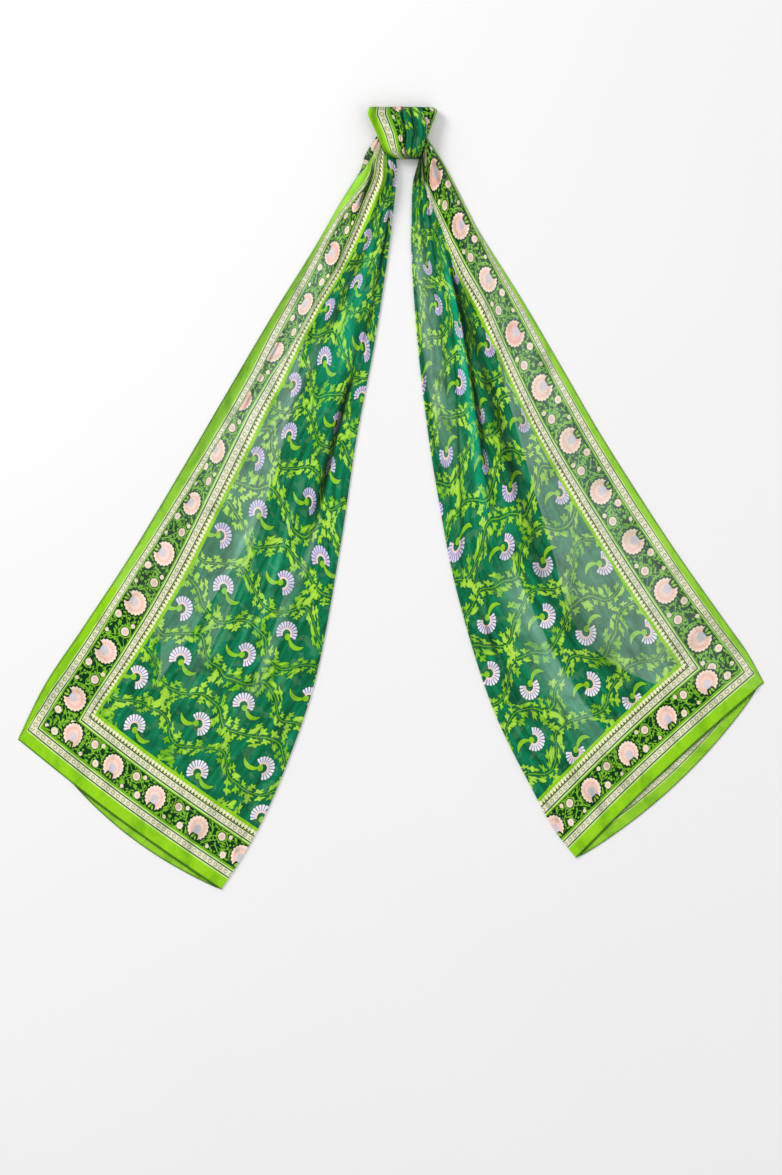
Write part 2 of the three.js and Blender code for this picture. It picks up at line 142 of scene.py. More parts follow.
# Pleats of the upper layer. start and end: share across where each begins and dies away. from
# and to: distances from the knot. high: height. half and spread: half widths at each end.
PLEAT = "start end from to high half spread"
LEFT_PLEATS = table(PLEAT, [
    [0.12, 0.07, 0, 330, 3.6, 4.5, 11], [0.38, 0.32, 0, 520, 4.2, 5, 17],
    [0.61, 0.60, 0, 600, 4.2, 5, 22], [0.84, 0.72, 0, 640, 4.6, 5, 24],
    [0.90, 0.93, 90, 560, 2.6, 7, 12], [0.47, 0.62, 330, 840, 2.0, 16, 20],
    [0.66, 0.84, 420, 860, 2.0, 18, 22],
])
RIGHT_PLEATS = table(PLEAT, [
    [0.13, 0.08, 0, 320, 3.4, 3.8, 11], [0.38, 0.30, 0, 480, 4.0, 4.5, 17],
    [0.60, 0.86, 0, 600, 4.6, 4.5, 24], [0.85, 0.93, 0, 420, 3.2, 4, 11],
    [0.46, 0.52, 360, 790, 2.0, 18, 24], [0.62, 0.76, 460, 800, 2.0, 18, 22],
])

# Finer creases and the places where the layers lie deeper or thinner. lean: how much wider the
# side towards the fold is. lift: height of a ridge; rows with no lift are creases made of
# painted shade alone. The column after lift is painted shading: painted shade in a crease below
# 0, a painted highlight on a ridge above 0. sheer: below 0 more layers lie behind, above 0
# fewer.
# hidden: cloth that the crease takes up.
FOLD = "start end from to half spread lean lift tone sheer hidden"
LEFT_FOLDS = table(FOLD, [
    [0.31, 0.35, 14, 92, 3.6, 5.5, 0, 0, -1.3, -1, 0],
    [0.60, 0.54, 115, 245, 5, 10, 0, 0, -0.6, -0.5, 0],
    [0.69, 0.62, 95, 165, 3, 4, 0, 0, -0.6, 0, 0],
    [0.93, 0.87, 60, 290, 2.5, 4.5, 0.3, 0, -0.7, 0, 0],
    [0.875, 0.815, 245, 480, 6, 9, -0.4, 0, -1.2, -0.6, 20],
    [0.74, 0.68, 80, 350, 14, 22, 0, 1.6, 0.5, 0, 0],
    [0.96, 0.95, 120, 520, 4, 9, 0, 1.2, 0.15, 0, 0],
    [0.855, 0.80, 425, 530, 3, 9, 0, 0, 0.0, 0.9, 0],
    [0.55, 0.31, 280, 425, 1.3, 1.2, 0, 0.8, -0.75, 0, 0],
    [0.50, 0.47, 215, 400, 6, 16, 0, 0, 0.0, 0.5, 0],
    [0.175, 0.165, 215, 400, 3, 3, 0, 0, -0.75, 0, 0],
    [0.42, 0.29, 60, 275, 3, 4, 0, 0, -0.4, 0, 0],
    [0.30, 0.30, 420, 760, 60, 70, 0, 0, 0, -0.45, 0],
    [0.49, 0.42, 400, 690, 2, 3, 0, 0.5, 0.25, 0, 0],
    [0.53, 0.47, 420, 720, 1.6, 2.4, 0, 0, -0.3, 0, 0],
    [0.57, 0.50, 430, 740, 2, 3, 0, 0.5, 0.25, 0.2, 0],
    [0.535, 0.49, 430, 720, 14, 18, -0.85, 0, 0.15, 0.7, 0],
    [0.76, 0.73, 470, 700, 9, 12, 0.85, 0, 0.15, 0.7, 0],
    [0.60, 0.56, 440, 700, 2, 4, 0, 0, -0.25, 0, 0],
    [0.64, 0.60, 460, 780, 2.4, 3, 0, 0.4, 0.2, 0.2, 0],
    [0.69, 0.66, 380, 640, 4, 7, 0, 0.7, 0.3, 0.2, 0],
    [0.93, 0.90, 560, 840, 10, 14, 0, 0.6, -0.3, -0.3, 0],
    [0.80, 0.79, 540, 760, 6, 9, 0, 0, -0.25, -0.2, 0],
    [0.03, 0.03, 60, 560, 10, 13, 0, 0, -0.4, 0.2, 0],
    [0.24, 0.15, 70, 560, 20, 34, 0, 0, 0.1, 2.2, 0],
    [0.66, 0.60, -20, 170, 1.8, 3, 0.2, 0, -0.45, 0, 0],
    [0.80, 0.78, -20, 210, 1.8, 3.4, -0.2, 0, -0.65, 0, 0],
    [0.92, 0.90, 10, 160, 1.6, 2.8, 0, 0, -0.6, 0, 0],
])
RIGHT_FOLDS = table(FOLD, [
    [0.75, 0.88, -15, 48, 14, 20, 0, 0, -0.9, -1, 0],
    [0.50, 0.56, 110, 570, 7, 20, 0, 0, -0.75, -0.6, 0],
    [0.52, 0.735, 115, 450, 4, 8, -0.4, 0, -1.2, -0.8, 30],
    [0.55, 0.80, 95, 480, 5, 12, 0, 1.8, 1.0, 0, 0],
    [0.70, 0.98, 235, 505, 1.8, 2.6, 0.3, 0, -0.75, 0, 0],
    [0.74, 0.86, 165, 335, 2.4, 3, 0, 0, -0.5, 0, 0],
    [0.93, 0.90, 75, 400, 12, 24, -0.5, 0.4, 0.05, 1.1, 0],
    [0.70, 0.63, 470, 750, 20, 26, 0.9, 0.5, 0.30, 1.1, 0],
    [0.60, 0.56, 450, 700, 14, 20, -0.5, 0, -0.3, -0.3, 0],
    [0.93, 0.84, 480, 700, 5, 8, 0, 0, -0.45, -0.3, 0],
    [0.50, 0.47, 540, 730, 16, 26, 0, 0, -0.35, -0.3, 0],
    [0.90, 0.93, 500, 700, 3, 5, 0, 0.5, -0.35, 0, 0],
    [0.62, 0.66, 520, 700, 2, 3, 0, 0.4, 0.2, 0, 0],
    [0.06, 0.05, 0, 130, 3, 3, 0, 0, -0.5, 0, 0],
    [0.05, 0.055, 130, 260, 2, 3, 0, 0.6, -0.3, 0, 0],
    [0.33, 0.30, 60, 240, 3, 4, 0, 0.6, 0.1, 0, 0],
    [0.45, 0.42, 130, 300, 2.5, 4, 0, 0, -0.35, 0, 0],
    [0.66, 0.70, -20, 190, 1.6, 3, 0, 0, -0.7, 0, 0],
    [0.80, 0.79, 10, 170, 1.8, 3.2, 0.2, 0, -0.55, 0, 0],
    [0.92, 0.90, -20, 130, 1.8, 3, 0, 0, -0.5, 0, 0],
    [0.975, 0.97, 120, 420, 3, 5, 0, 0, -0.5, 0, 0],
    [0.20, 0.13, 90, 840, 26, 40, 0, 0, 0.1, 2.2, 0],
])

# Where the border's lines lie across a tail, as shares, at distances from the knot: the two
# dark lines of the outer band, the start and end of the flowered band, the last dark line and
# the start of the field. BORDER_MM gives their places on the flat cloth.
BORDER = "along line_1 line_2 flowers_from flowers_to line_3 field"
BORDER_MM = {"line_1": 17.7, "line_2": 26.8, "flowers_from": 31.8, "flowers_to": 66.0,
             "line_3": 79.0, "field": 90.0}
LEFT_BORDER = table(BORDER, [
    [0, .330, .345, .360, .380, .550, .780], [25, .310, .330, .350, .370, .520, .740],
    [45, .260, .300, .320, .370, .490, .690], [65, .160, .210, .230, .375, .470, .640],
    [90, .085, .140, .160, .380, .465, .590], [122, .045, .110, .135, .372, .440, .530],
    [150, .061, .135, .150, .370, .420, .490],
    [200, .074, .136, .160, .315, .345, .402], [250, .079, .140, .155, .285, .310, .370],
    [300, .096, .139, .150, .226, .294, .362], [350, .090, .130, .140, .200, .272, .334],
    [400, .078, .106, .113, .194, .264, .317], [450, .066, .095, .098, .193, .254, .299],
    [500, .056, .082, .085, .192, .243, .288], [550, .047, .071, .074, .190, .235, .278],
    [600, .040, .063, .067, .188, .228, .267], [650, .040, .064, .070, .187, .224, .256],
    [700, .042, .068, .075, .186, .219, .246], [750, .042, .071, .079, .183, .212, .238],
    [800, .030, .062, .072, .181, .210, .236], [850, .012, .047, .060, .180, .209, .235],
])
RIGHT_BORDER = table(BORDER, [
    [0, .004, .008, .060, .740, .800, .802], [35, .004, .008, .050, .660, .704, .706],
    [50, .004, .008, .045, .565, .625, .627], [75, .004, .008, .045, .475, .575, .577],
    [100, .006, .012, .050, .400, .495, .498], [125, .012, .030, .060, .358, .455, .487],
    [150, .026, .061, .080, .333, .432, .485], [175, .030, .066, .090, .307, .392, .470],
    [200, .032, .070, .100, .292, .358, .432],
    [250, .040, .079, .100, .292, .344, .390], [300, .047, .086, .098, .280, .331, .368],
    [350, .043, .082, .095, .265, .315, .352], [400, .042, .080, .093, .246, .290, .330],
    [450, .039, .077, .087, .225, .267, .307], [500, .038, .074, .082, .208, .251, .286],
    [550, .034, .067, .074, .196, .238, .270], [600, .033, .064, .069, .187, .226, .259],
    [650, .033, .062, .066, .184, .220, .254], [700, .031, .058, .063, .182, .217, .250],
    [750, .025, .052, .059, .180, .216, .248], [794, .012, .046, .056, .179, .215, .247],
])

# Where the under layer's loose corner doubles a tail again, as a share across, at distances
# from the knot.
LEFT_AGAIN = table("along share", [[628, 0.05], [640, 0.20], [655, 0.31], [675, 0.345],
                                   [700, 0.38], [712, 0.60], [900, 0.60]])
RIGHT_AGAIN = table("along share", [[0, -1]])

# The band's left and right edges, and the edge of the ear, at places along Y.
BAND_EDGES = table("y left right", [
    [398, 8, 32], [401, 0, 34], [406, -7, 36.5], [415, -11.5, 39],
    [426, -16, 42], [438, -22, 41], [450, -27.4, 38], [460, -25, 35],
])
EAR_EDGE = table("y right", [
    [424.6, 43.8], [438, 48.5], [451, 54], [456, 55], [459.5, 51.5],
])
# Rolls of the gathers down the band. low and high: the middle as a share across at the band's
# lower and upper end. half: half the width. lift: the height.
BAND_ROLLS = table("low high half lift", [
    [0.20, 0.17, 0.20, 2.6], [0.42, 0.46, 0.17, 3.5],
    [0.64, 0.69, 0.12, 2.4], [0.86, 0.89, 0.15, 3.2],
])
# Creases of the band. low and high: share across at its lower and upper end. half: half the
# width as a share. deep: depth. The last column: how dark the painted shade in the crease is.
BAND_CREASES = table("low high half deep tone", [
    [0.52, 0.635, 0.042, 2.4, -1.1], [0.70, 0.80, 0.026, 1.4, -0.9],
    [0.33, 0.36, 0.02, 0.5, -0.15], [0.90, 0.97, 0.03, 0.6, -0.3],
    [0.02, 0.10, 0.09, 0.6, -0.45], [0.60, 0.70, 0.02, 0.8, -0.5],
    [0.44, 0.50, 0.022, 1.2, -0.7], [0.27, 0.12, 0.03, 0.3, -0.3],
    [0.80, 0.78, 0.06, 0.4, -0.35],
])
# What shows across the band's face and out along the ear: distance in from the selvedge.
BAND_PRINT = table("share cloth", [
    [-0.2, 0], [0.0, 2.5], [0.143, 14.9], [0.175, 17.8], [0.31, 26.2], [0.35, 29], [0.41, 32],
    [0.56, 49], [0.57, 271], [0.675, 283], [0.685, 164], [1.0, 199], [1.2, 210],
])
EAR_PRINT = table("share cloth", [[0, 47], [0.55, 33], [0.70, 28], [0.85, 25], [1.0, 17]])


# ------------------------------------------------------------------ working functions
def smooth(value):
    """0 below 0, 1 above 1, and 3x^2 - 2x^3 between."""
    x = np.clip(value, 0, 1)
    return x * x * (3 - 2 * x)


def ridge(distance, half):
    """A rounded ridge: cos^2 of the distance, 1 at 0 and 0 from the half width on."""
    return np.where(np.abs(distance) < half,
                    np.cos(np.pi / 2 * np.clip(distance / half, -1, 1)) ** 2, 0)


def read_smooth(column, place):
    """Catmull-Rom reading of a table's column by row number, which may fall between rows."""
    last = len(column) - 1
    k = np.clip(np.floor(place).astype(int), 0, last - 1)
    x = place - k
    before, a, b, after = (column[np.clip(k + n, 0, last)] for n in (-1, 0, 1, 2))
    slope_a, slope_b = (b - before) / 2, (after - a) / 2
    return a + x * (slope_a + x * (3 * (b - a) - 2 * slope_a - slope_b
                                   + x * (2 * (a - b) + slope_a + slope_b)))


def grid_normals(points):
    """Unit normals of a grid of points: the cross product of its steps down and across."""
    normal = np.cross(np.gradient(points, axis=0), np.gradient(points, axis=1))
    return normal / np.maximum(np.linalg.norm(normal, axis=2, keepdims=True), 1e-9)


def grid_faces(rows, columns, start=0, loop=False):
    """Quads of a grid whose points are numbered row by row; a loop joins its last column."""
    i, j = np.meshgrid(np.arange(rows - 1), np.arange(columns if loop else columns - 1),
                       indexing="ij")
    k = (j + 1) % columns
    quads = np.stack([i * columns + j, i * columns + k, (i + 1) * columns + k,
                      (i + 1) * columns + j], axis=-1)
    return quads.reshape(-1, 4) + start


def new_piece(name, points, faces, material, uv=None, **fields):
    """A smooth-shaded mesh object from points in millimetres, a list of faces, cloth
    coordinates in metres for each point, and named numbers for each point."""
    mesh = bpy.data.meshes.new(name)
    mesh.from_pydata((points * MM).tolist(), [], faces)
    if uv is not None:
        corners = np.empty(len(mesh.loops), dtype=np.int32)
        mesh.loops.foreach_get("vertex_index", corners)
        layer = mesh.uv_layers.new(name="cloth")
        layer.data.foreach_set("uv", uv[corners].astype(np.float32).ravel())
    for field, values in fields.items():
        made = mesh.attributes.new(field, "FLOAT", "POINT")
        made.data.foreach_set("value", np.asarray(values, dtype=np.float32))
    mesh.polygons.foreach_set("use_smooth", np.ones(len(mesh.polygons), dtype=bool))
    mesh.materials.append(material)
    mesh.update()
    made = bpy.data.objects.new(name, mesh)
    bpy.context.collection.objects.link(made)
    return made


def cloth_shell(name, middle, half, sign, material, uv, loop=False, **fields):
    """A closed thin shell: a grid of points moved both ways along its normals by half its
    thickness, with its rims joined. reverse is 1 on the wrong side of the cloth."""
    rows, columns = middle.shape[:2]
    count = rows * columns
    if loop:
        wide = np.concatenate([middle[:, -1:], middle, middle[:, :1]], axis=1)
        normal = grid_normals(wide)[:, 1:-1] * sign
    else:
        normal = grid_normals(middle) * sign
    face_side = middle + normal * half[..., None]
    back_side = middle - normal * half[..., None]
    points = np.concatenate([face_side.reshape(-1, 3), back_side.reshape(-1, 3)])
    face = grid_faces(rows, columns, loop=loop)
    if sign > 0:
        face = face[:, ::-1]
    back = face[:, ::-1] + count
    number = np.arange(count).reshape(rows, columns)
    if loop:
        rims = [number[0], number[-1][::-1]]
        rims = [np.append(rim, rim[0]) for rim in rims]
    else:
        rims = [np.concatenate([number[0], number[1:, -1], number[-1, -2::-1],
                                number[-2::-1, 0]])]
    edges = []
    for rim in rims:
        edge = np.stack([rim[:-1], rim[1:], rim[1:] + count, rim[:-1] + count], axis=1)
        edges.append(edge if sign > 0 else edge[:, ::-1])
    faces = np.concatenate([face, back, *edges])
    both = {key: np.tile(value.ravel(), 2) for key, value in fields.items()}
    both["reverse"] = np.repeat([0.0, 1.0], count)
    return new_piece(name, points, faces.tolist(), material,
                     np.tile(uv.reshape(-1, 2), (2, 1)), **both)


# ------------------------------------------------------------------ the print and its shader
def colour(red, green, blue):
    """A colour given as the eye reads it, 0 to 255, in the linear values that a shader takes."""
    parts = np.array([red, green, blue]) / 255
    linear = np.where(parts <= 0.04045, parts / 12.92, ((parts + 0.055) / 1.055) ** 2.4)
    return (*linear.tolist(), 1.0)


def on_two(operation):
    """A method of Num: a Math node on the number and another one."""
    def method(self, other):
        return self.paint.maths(operation, self, other)
    return method


def on_one(operation):
    """A method of Num: a Math node on the number alone."""
    def method(self):
        return self.paint.maths(operation, self)
    return method


class Num:
    """A number that varies over a surface; arithmetic on it adds Math nodes."""

    def __init__(self, paint, socket):
        self.paint, self.socket = paint, socket

    __add__ = __radd__ = on_two("ADD")
    __sub__ = on_two("SUBTRACT")
    __mul__ = __rmul__ = on_two("MULTIPLY")
    __truediv__ = on_two("DIVIDE")
    __mod__ = on_two("FLOORED_MODULO")
    __abs__ = on_one("ABSOLUTE")
    least = on_two("MINIMUM")
    most = on_two("MAXIMUM")
    angle = on_two("ARCTAN2")
    floor = on_one("FLOOR")
    nearest = on_one("ROUND")
    root = on_one("SQRT")
    sine = on_one("SINE")
    cosine = on_one("COSINE")

    def __rsub__(self, other):
        return self.paint.maths("SUBTRACT", other, self)

    def __neg__(self):
        return self * -1

    def plus(self, times, more, clamp=False):
        """The number times one value, plus another."""
        return self.paint.maths("MULTIPLY_ADD", self, times, more, clamp=clamp)

    def limited(self):
        """The number, kept from 0 to 1."""
        return self.plus(1, 0, clamp=True)

    def inside(self, soft=0.35):
        """1 where the number is above 0 and 0 below it, with a soft edge."""
        return self.plus(1 / soft, 0.5, clamp=True)


class Paint:
    """A material's nodes."""

    def __init__(self, name):
        self.material = bpy.data.materials.new(name)
        self.material.use_nodes = True
        self.tree = self.material.node_tree
        self.tree.nodes.clear()

    def node(self, kind, settings=(), sockets=()):
        """A node by its type, its settings, and the values or links of its sockets."""
        made = self.tree.nodes.new("ShaderNode" + kind)
        for key, value in dict(settings).items():
            if key == "stops":
                ramp = made.color_ramp
                while len(ramp.elements) > 1:
                    ramp.elements.remove(ramp.elements[-1])
                ramp.elements[0].position, ramp.elements[0].color = value[0]
                for place, shade in value[1:]:
                    ramp.elements.new(place).color = shade
            else:
                setattr(made, key, value)
        for key, value in dict(sockets).items():
            if isinstance(value, Num):
                value = value.socket
            if isinstance(value, bpy.types.NodeSocket):
                self.tree.links.new(value, made.inputs[key])
            else:
                made.inputs[key].default_value = value
        return made

    def number(self, node, output=0):
        return Num(self, node.outputs[output])

    def maths(self, operation, *values, clamp=False):
        settings = {"operation": operation, "use_clamp": clamp}
        return self.number(self.node("Math", settings, dict(enumerate(values))))

    def mix(self, factor, a, b, blend="MIX"):
        settings = {"data_type": "RGBA", "blend_type": blend}
        return self.node("Mix", settings, {0: factor, 6: a, 7: b}).outputs[2]

    def field(self, name):
        return self.number(self.node("Attribute", {"attribute_name": name}), "Fac")

    def pair(self, x, y):
        return self.node("CombineXYZ", {}, {0: x, 1: y}).outputs[0]

    def noise(self, place, detail=0.0, scale=1.0, distortion=0.0):
        """Cloudy noise over a pair of coordinates."""
        return self.node("TexNoise", {"noise_dimensions": "2D"},
                         {"Vector": place, "Scale": scale, "Detail": detail,
                          "Distortion": distortion})

    def finish(self, **sockets):
        """The cloth or surface itself, from what its sockets take; gives the material."""
        named = {key.replace("_", " "): value for key, value in sockets.items()}
        shader = self.node("BsdfPrincipled", {}, named)
        self.tree.links.new(shader.outputs[0], self.node("OutputMaterial").inputs[0])
        return self.material


def radius(x, y, centre=None):
    """Distance of a point from a centre, or else from the origin."""
    if centre:
        x, y = x - centre[0], y - centre[1]
    return (x * x + y * y).root()


def repeat(run, pitch):
    """Distance along from the middle of a repeat: even repeats of one pitch."""
    return (run % pitch) - pitch / 2


def petal_gap(turn, petals):
    """0 down the middle of a petal and 1 between two petals, from so many petals a radian."""
    return abs(((turn * petals + 0.5) % 1.0) - 0.5) * 2.0


def leaflet(x, y, turn, length, width):
    """How far a point is inside a leaflet that grows from the origin at an angle: a parabola
    of half widths along its length, less the distance from its rib."""
    c, s = math.cos(turn), math.sin(turn)
    rib = x.plus(c, y * s)
    off = x.plus(-s, y * c)
    return (rib * (length - rib)).plus(4 * width / length ** 2, -abs(off))


def leaves(x, y, shapes):
    """How far a point is inside the nearest of some leaflets, each given by where it starts,
    the angle at which it grows, its length and its half width."""
    return functools.reduce(Num.most, [leaflet(x - along, y - out, turn, length, half)
                                       for along, out, turn, length, half in shapes])


# Dyes
LIME = colour(142, 208, 24)
LIME_LIGHT = colour(200, 240, 134)
LIME_DEEP = colour(112, 178, 28)
LIME_ROLL = colour(70, 130, 20)         # the rolled edge
CREAM = colour(232, 230, 202)
LINE_DARK = colour(16, 64, 42)
BEAD_GROUND = colour(190, 214, 110)
RING_OLIVE = colour(142, 152, 62)
BEAD_CREAM = colour(252, 240, 214)
DOT_DARK = colour(30, 34, 24)
BORDER_LEAF = colour(122, 186, 40)
PETAL_PINK = colour(252, 216, 200)
PETAL_ROSY = colour(250, 176, 166)
RAY_ROSE = colour(222, 128, 118)
INNER_ROSE = colour(226, 158, 146)
TIP_CREAM = colour(255, 238, 206)
HEART_GREY = colour(212, 204, 216)
HEART_SPECK = colour(150, 132, 172)
CALYX_GREEN = colour(150, 200, 60)
BUD_CREAM = colour(250, 228, 204)
BUD_HEART = colour(222, 184, 180)
GROUND_BORDER = colour(4, 56, 24)
GROUND_DEEP, GROUND_BRIGHT = colour(0, 84, 48), colour(8, 136, 92)
STEM_SHADE = colour(6, 66, 34)
LEAF_DEEP, LEAF_BRIGHT = colour(104, 176, 26), colour(170, 224, 66)
FAN_SHADE = colour(4, 60, 44)
FAN_LEAF = colour(138, 202, 34)
FAN_WHITE, FAN_VIOLET = colour(246, 242, 252), colour(202, 188, 238)
FAN_TINT = colour(184, 168, 220)
FAN_RAY = colour(66, 54, 108)
FAN_HEART = colour(250, 216, 194)
# What is mixed in for layers, for painted shade and highlights on creases and ridges, and
# crumples
GHOST_GREEN = colour(150, 190, 130)     # print behind the cloth
VEIL = colour(206, 220, 214)            # a single layer over the surface
# painted shade for creases, and a painted highlight for ridges
CREASE_PAINTED_SHADE, RIDGE_PAINTED_HIGHLIGHT = colour(34, 70, 46), colour(0, 170, 125)
WRONG_SIDE = colour(140, 176, 84)
CRUMPLE_DARK, CRUMPLE_LIGHT = colour(150, 176, 150), colour(255, 255, 255)
FLECK_DARK, FLECK_LIGHT = colour(96, 96, 96), colour(255, 255, 255)

# The border: places are distances in from the cloth's edge, in millimetres of flat cloth.
RING_BANDS = (22.2, 74.6)
RING_PITCH, RING_RADIUS, RING_LINE = 8.6, 2.2, 0.6
BEAD_PITCH, BEAD_PLACE = 5.2, 83.4
DOT_PLACE, DOT_RADIUS = 81.2, 1.15
FLOWER_REPEAT, FLOWER_PLACE = 72.0, 48.6
GROUND_HALF = 16.6                      # half the width of the flowered band's dark ground
FLOWER_RADIUS, FLOWER_SCALLOP, FLOWER_PETALS, FLOWER_CLEAR = 15.0, 1.5, 3.0, 16.8
BITE_CENTRE, BITE_RADIUS = (0.6, -12.6), 6.2
HEART_CENTRE, HEART_RADIUS = (0.0, -2.6), 5.7
ARCH_CENTRE, ARCH_RADIUS, ARCH_HALF = (2.5, 1.0), 18.2, 0.8
SWING, SWING_MIDDLE, SWING_HALF = 11.0, -3.0, 0.7       # the border's waving stem
CURL_RADIUS, CURL_HALF, BUD_CLEAR = 7.2, 0.75, 7.4
BUD_CENTRE = (-1.0, 7.6)                # the large bud, from the middle between two flowers
BUDS = [(*BUD_CENTRE, 5.2, 3.2), (10.5, 12.8, 2.7, 1.0),    # along, in, radius, heart's radius
        (12.0, -11.0, 4.4, 1.8), (-13.0, -13.2, 2.4, 0.8)]
CALYX = [(-3.0, -15.5, 1.2, 7.0, 1.5), (3.6, -15.5, 1.9, 6.0, 1.4)]
# The field: fans in rows, each row set over from the last, and stems that wave between rows.
FAN_ACROSS, FAN_ROWS = 110.0, 52.0      # fans along a row, and from row to row
FAN_PLACE, FAN_DROP = 143.0, 37.0       # a fan of the even rows, and how the odd rows set over
FAN_TILT, FAN_TILT_ODD = 0.40, 0.70
FAN_RADIUS, FAN_HOLE, FAN_HALF_SPREAD, FAN_PETALS = 16.6, 5.6, 2.02, 3.25
FAN_CALYX, FAN_CALYX_RADIUS = (2.0, -3.4), 4.1
BENT_LEAF_CENTRE, BENT_LEAF_RADIUS, BENT_LEAF_HALF = (17.5, 5.5), 13.5, 2.9
STEM_CREST, STEM_WAVE, STEM_HALF = 152.0, 13.0, 0.65
HOOK_CENTRE, HOOK_RADIUS, HOOK_HALF = (6.5, 8.0), 4.2, 0.6
TENDRIL_PITCH, TENDRIL_SWING, TENDRIL_HALF = 16.0, 7.0, 0.45
SPRIG_PITCH, OUTER_PITCH, BIG_PITCH = 12.0, 33.0, 55.0
SPRIG = [(-3.4, 1.8, 1.02, 10.2, 2.0), (-1.4, 4.2, 0.12, 6.6, 1.55),
         (-1.6, 5.0, 2.00, 6.2, 1.55)]
OUTER_SPRIG = [(-1.5, 9.0, 1.15, 9.0, 2.0), (-0.5, 10.5, 0.20, 6.6, 1.6),
               (-0.5, 11.0, 2.15, 6.0, 1.6)]
BIG_LEAF = [(-5.0, 4.5, 0.60, 12.0, 3.4)]
CREST_LEAVES = [(-2.5, 0.5, 1.25, 16.0, 4.0), (-7.5, -2.0, 1.95, 12.0, 2.8)]


def border_bands(paint, place):
    """The border's plain bands by distance from the cloth's edge, as one ramp of 100 mm."""
    bands = [
        (0.0, 1.0, LIME_ROLL), (1.6, 15.0, LIME), (15.3, 16.6, LIME_LIGHT),
        (16.9, 18.2, LINE_DARK), (18.5, 25.9, CREAM), (26.2, 27.4, LINE_DARK),
        (27.7, 29.0, LIME_LIGHT), (29.3, 31.6, LIME_DEEP), (32.0, 65.6, GROUND_BORDER),
        (66.0, 67.2, LIME_DEEP), (67.5, 68.9, LIME_LIGHT), (69.3, 70.6, LINE_DARK),
        (71.0, 78.2, CREAM), (78.6, 79.7, LINE_DARK), (80.0, 85.4, BEAD_GROUND),
        (85.8, 89.7, LIME),
    ]
    stops = [(edge / 100, shade) for low, high, shade in bands for edge in (low, high)]
    return paint.node("ValToRGB", {"stops": stops}, {0: place / 100}).outputs[0]


def border_rings(paint, shade, place, run):
    """A row of rings in each of the two cream bands."""
    along = abs(repeat(run, RING_PITCH))
    for middle in RING_BANDS:
        ring = RING_LINE - abs(radius(along, place - middle) - RING_RADIUS)
        shade = paint.mix(ring.inside(0.5) * 0.85, shade, RING_OLIVE)
    return shade


def border_beads(paint, shade, place, run):
    """A row of oval beads, with a dark dot between each two."""
    along = abs(repeat(run, BEAD_PITCH))
    across = place - BEAD_PLACE
    bead = 1.0 - (along * along / 3.0 + across * across / 6.5)
    shade = paint.mix(bead.inside(0.5), shade, BEAD_CREAM)
    dot = DOT_RADIUS - radius(BEAD_PITCH / 2 - along, place - DOT_PLACE)
    return paint.mix(dot.inside(0.4), shade, DOT_DARK)


def small_leaves(paint, place, run):
    """Small leaves, which are the middles of cells bent by a cloudy noise, and thin scrolls,
    which are the lines where that noise is at its middle value."""
    spot = paint.pair(run / 5.6, place / 5.0)
    cloud = paint.noise(spot, scale=0.42)
    bent = paint.node("VectorMath", {"operation": "MULTIPLY_ADD"},
                      {0: cloud.outputs[1], 1: (1.8, 1.8, 0), 2: spot})
    cells = paint.node("TexVoronoi", {"voronoi_dimensions": "2D", "feature": "F1"},
                       {"Vector": bent.outputs[0], "Scale": 1.0, "Randomness": 0.9})
    leaf = (0.31 - paint.number(cells, "Distance")).inside(0.09)
    scroll = (0.02 - abs(paint.number(cloud) - 0.5)).inside(0.02)
    return leaf.most(scroll)


def border_leafage(paint, shade, place, run, x, x_half, y):
    """Leaves and stems on the border's dark ground: small leaves all over, an arch beside each
    flower, a stem that waves between them, and a curl round each large bud."""
    arch = ARCH_HALF - abs(radius(x, y, ARCH_CENTRE) - ARCH_RADIUS)
    arch = arch.least(x + 5.0).least(y + 13.0)
    wave = (x * (2 * math.pi / FLOWER_REPEAT)).cosine() * -SWING + SWING_MIDDLE
    stem = SWING_HALF - abs(y - wave)
    from_bud = radius(x_half, y, BUD_CENTRE)
    curl = CURL_HALF - abs(from_bud - CURL_RADIUS)
    in_flower = FLOWER_CLEAR - radius(x, y)
    clear = in_flower.most(BUD_CLEAR - from_bud)
    greens = small_leaves(paint, place, run) * (1 - clear.inside(1.2))
    greens = greens.most(arch.most(curl).most(stem.least(-in_flower)).inside(0.6))
    in_band = (GROUND_HALF - abs(y)).inside(0.6)
    return paint.mix(greens * in_band, shade, BORDER_LEAF)


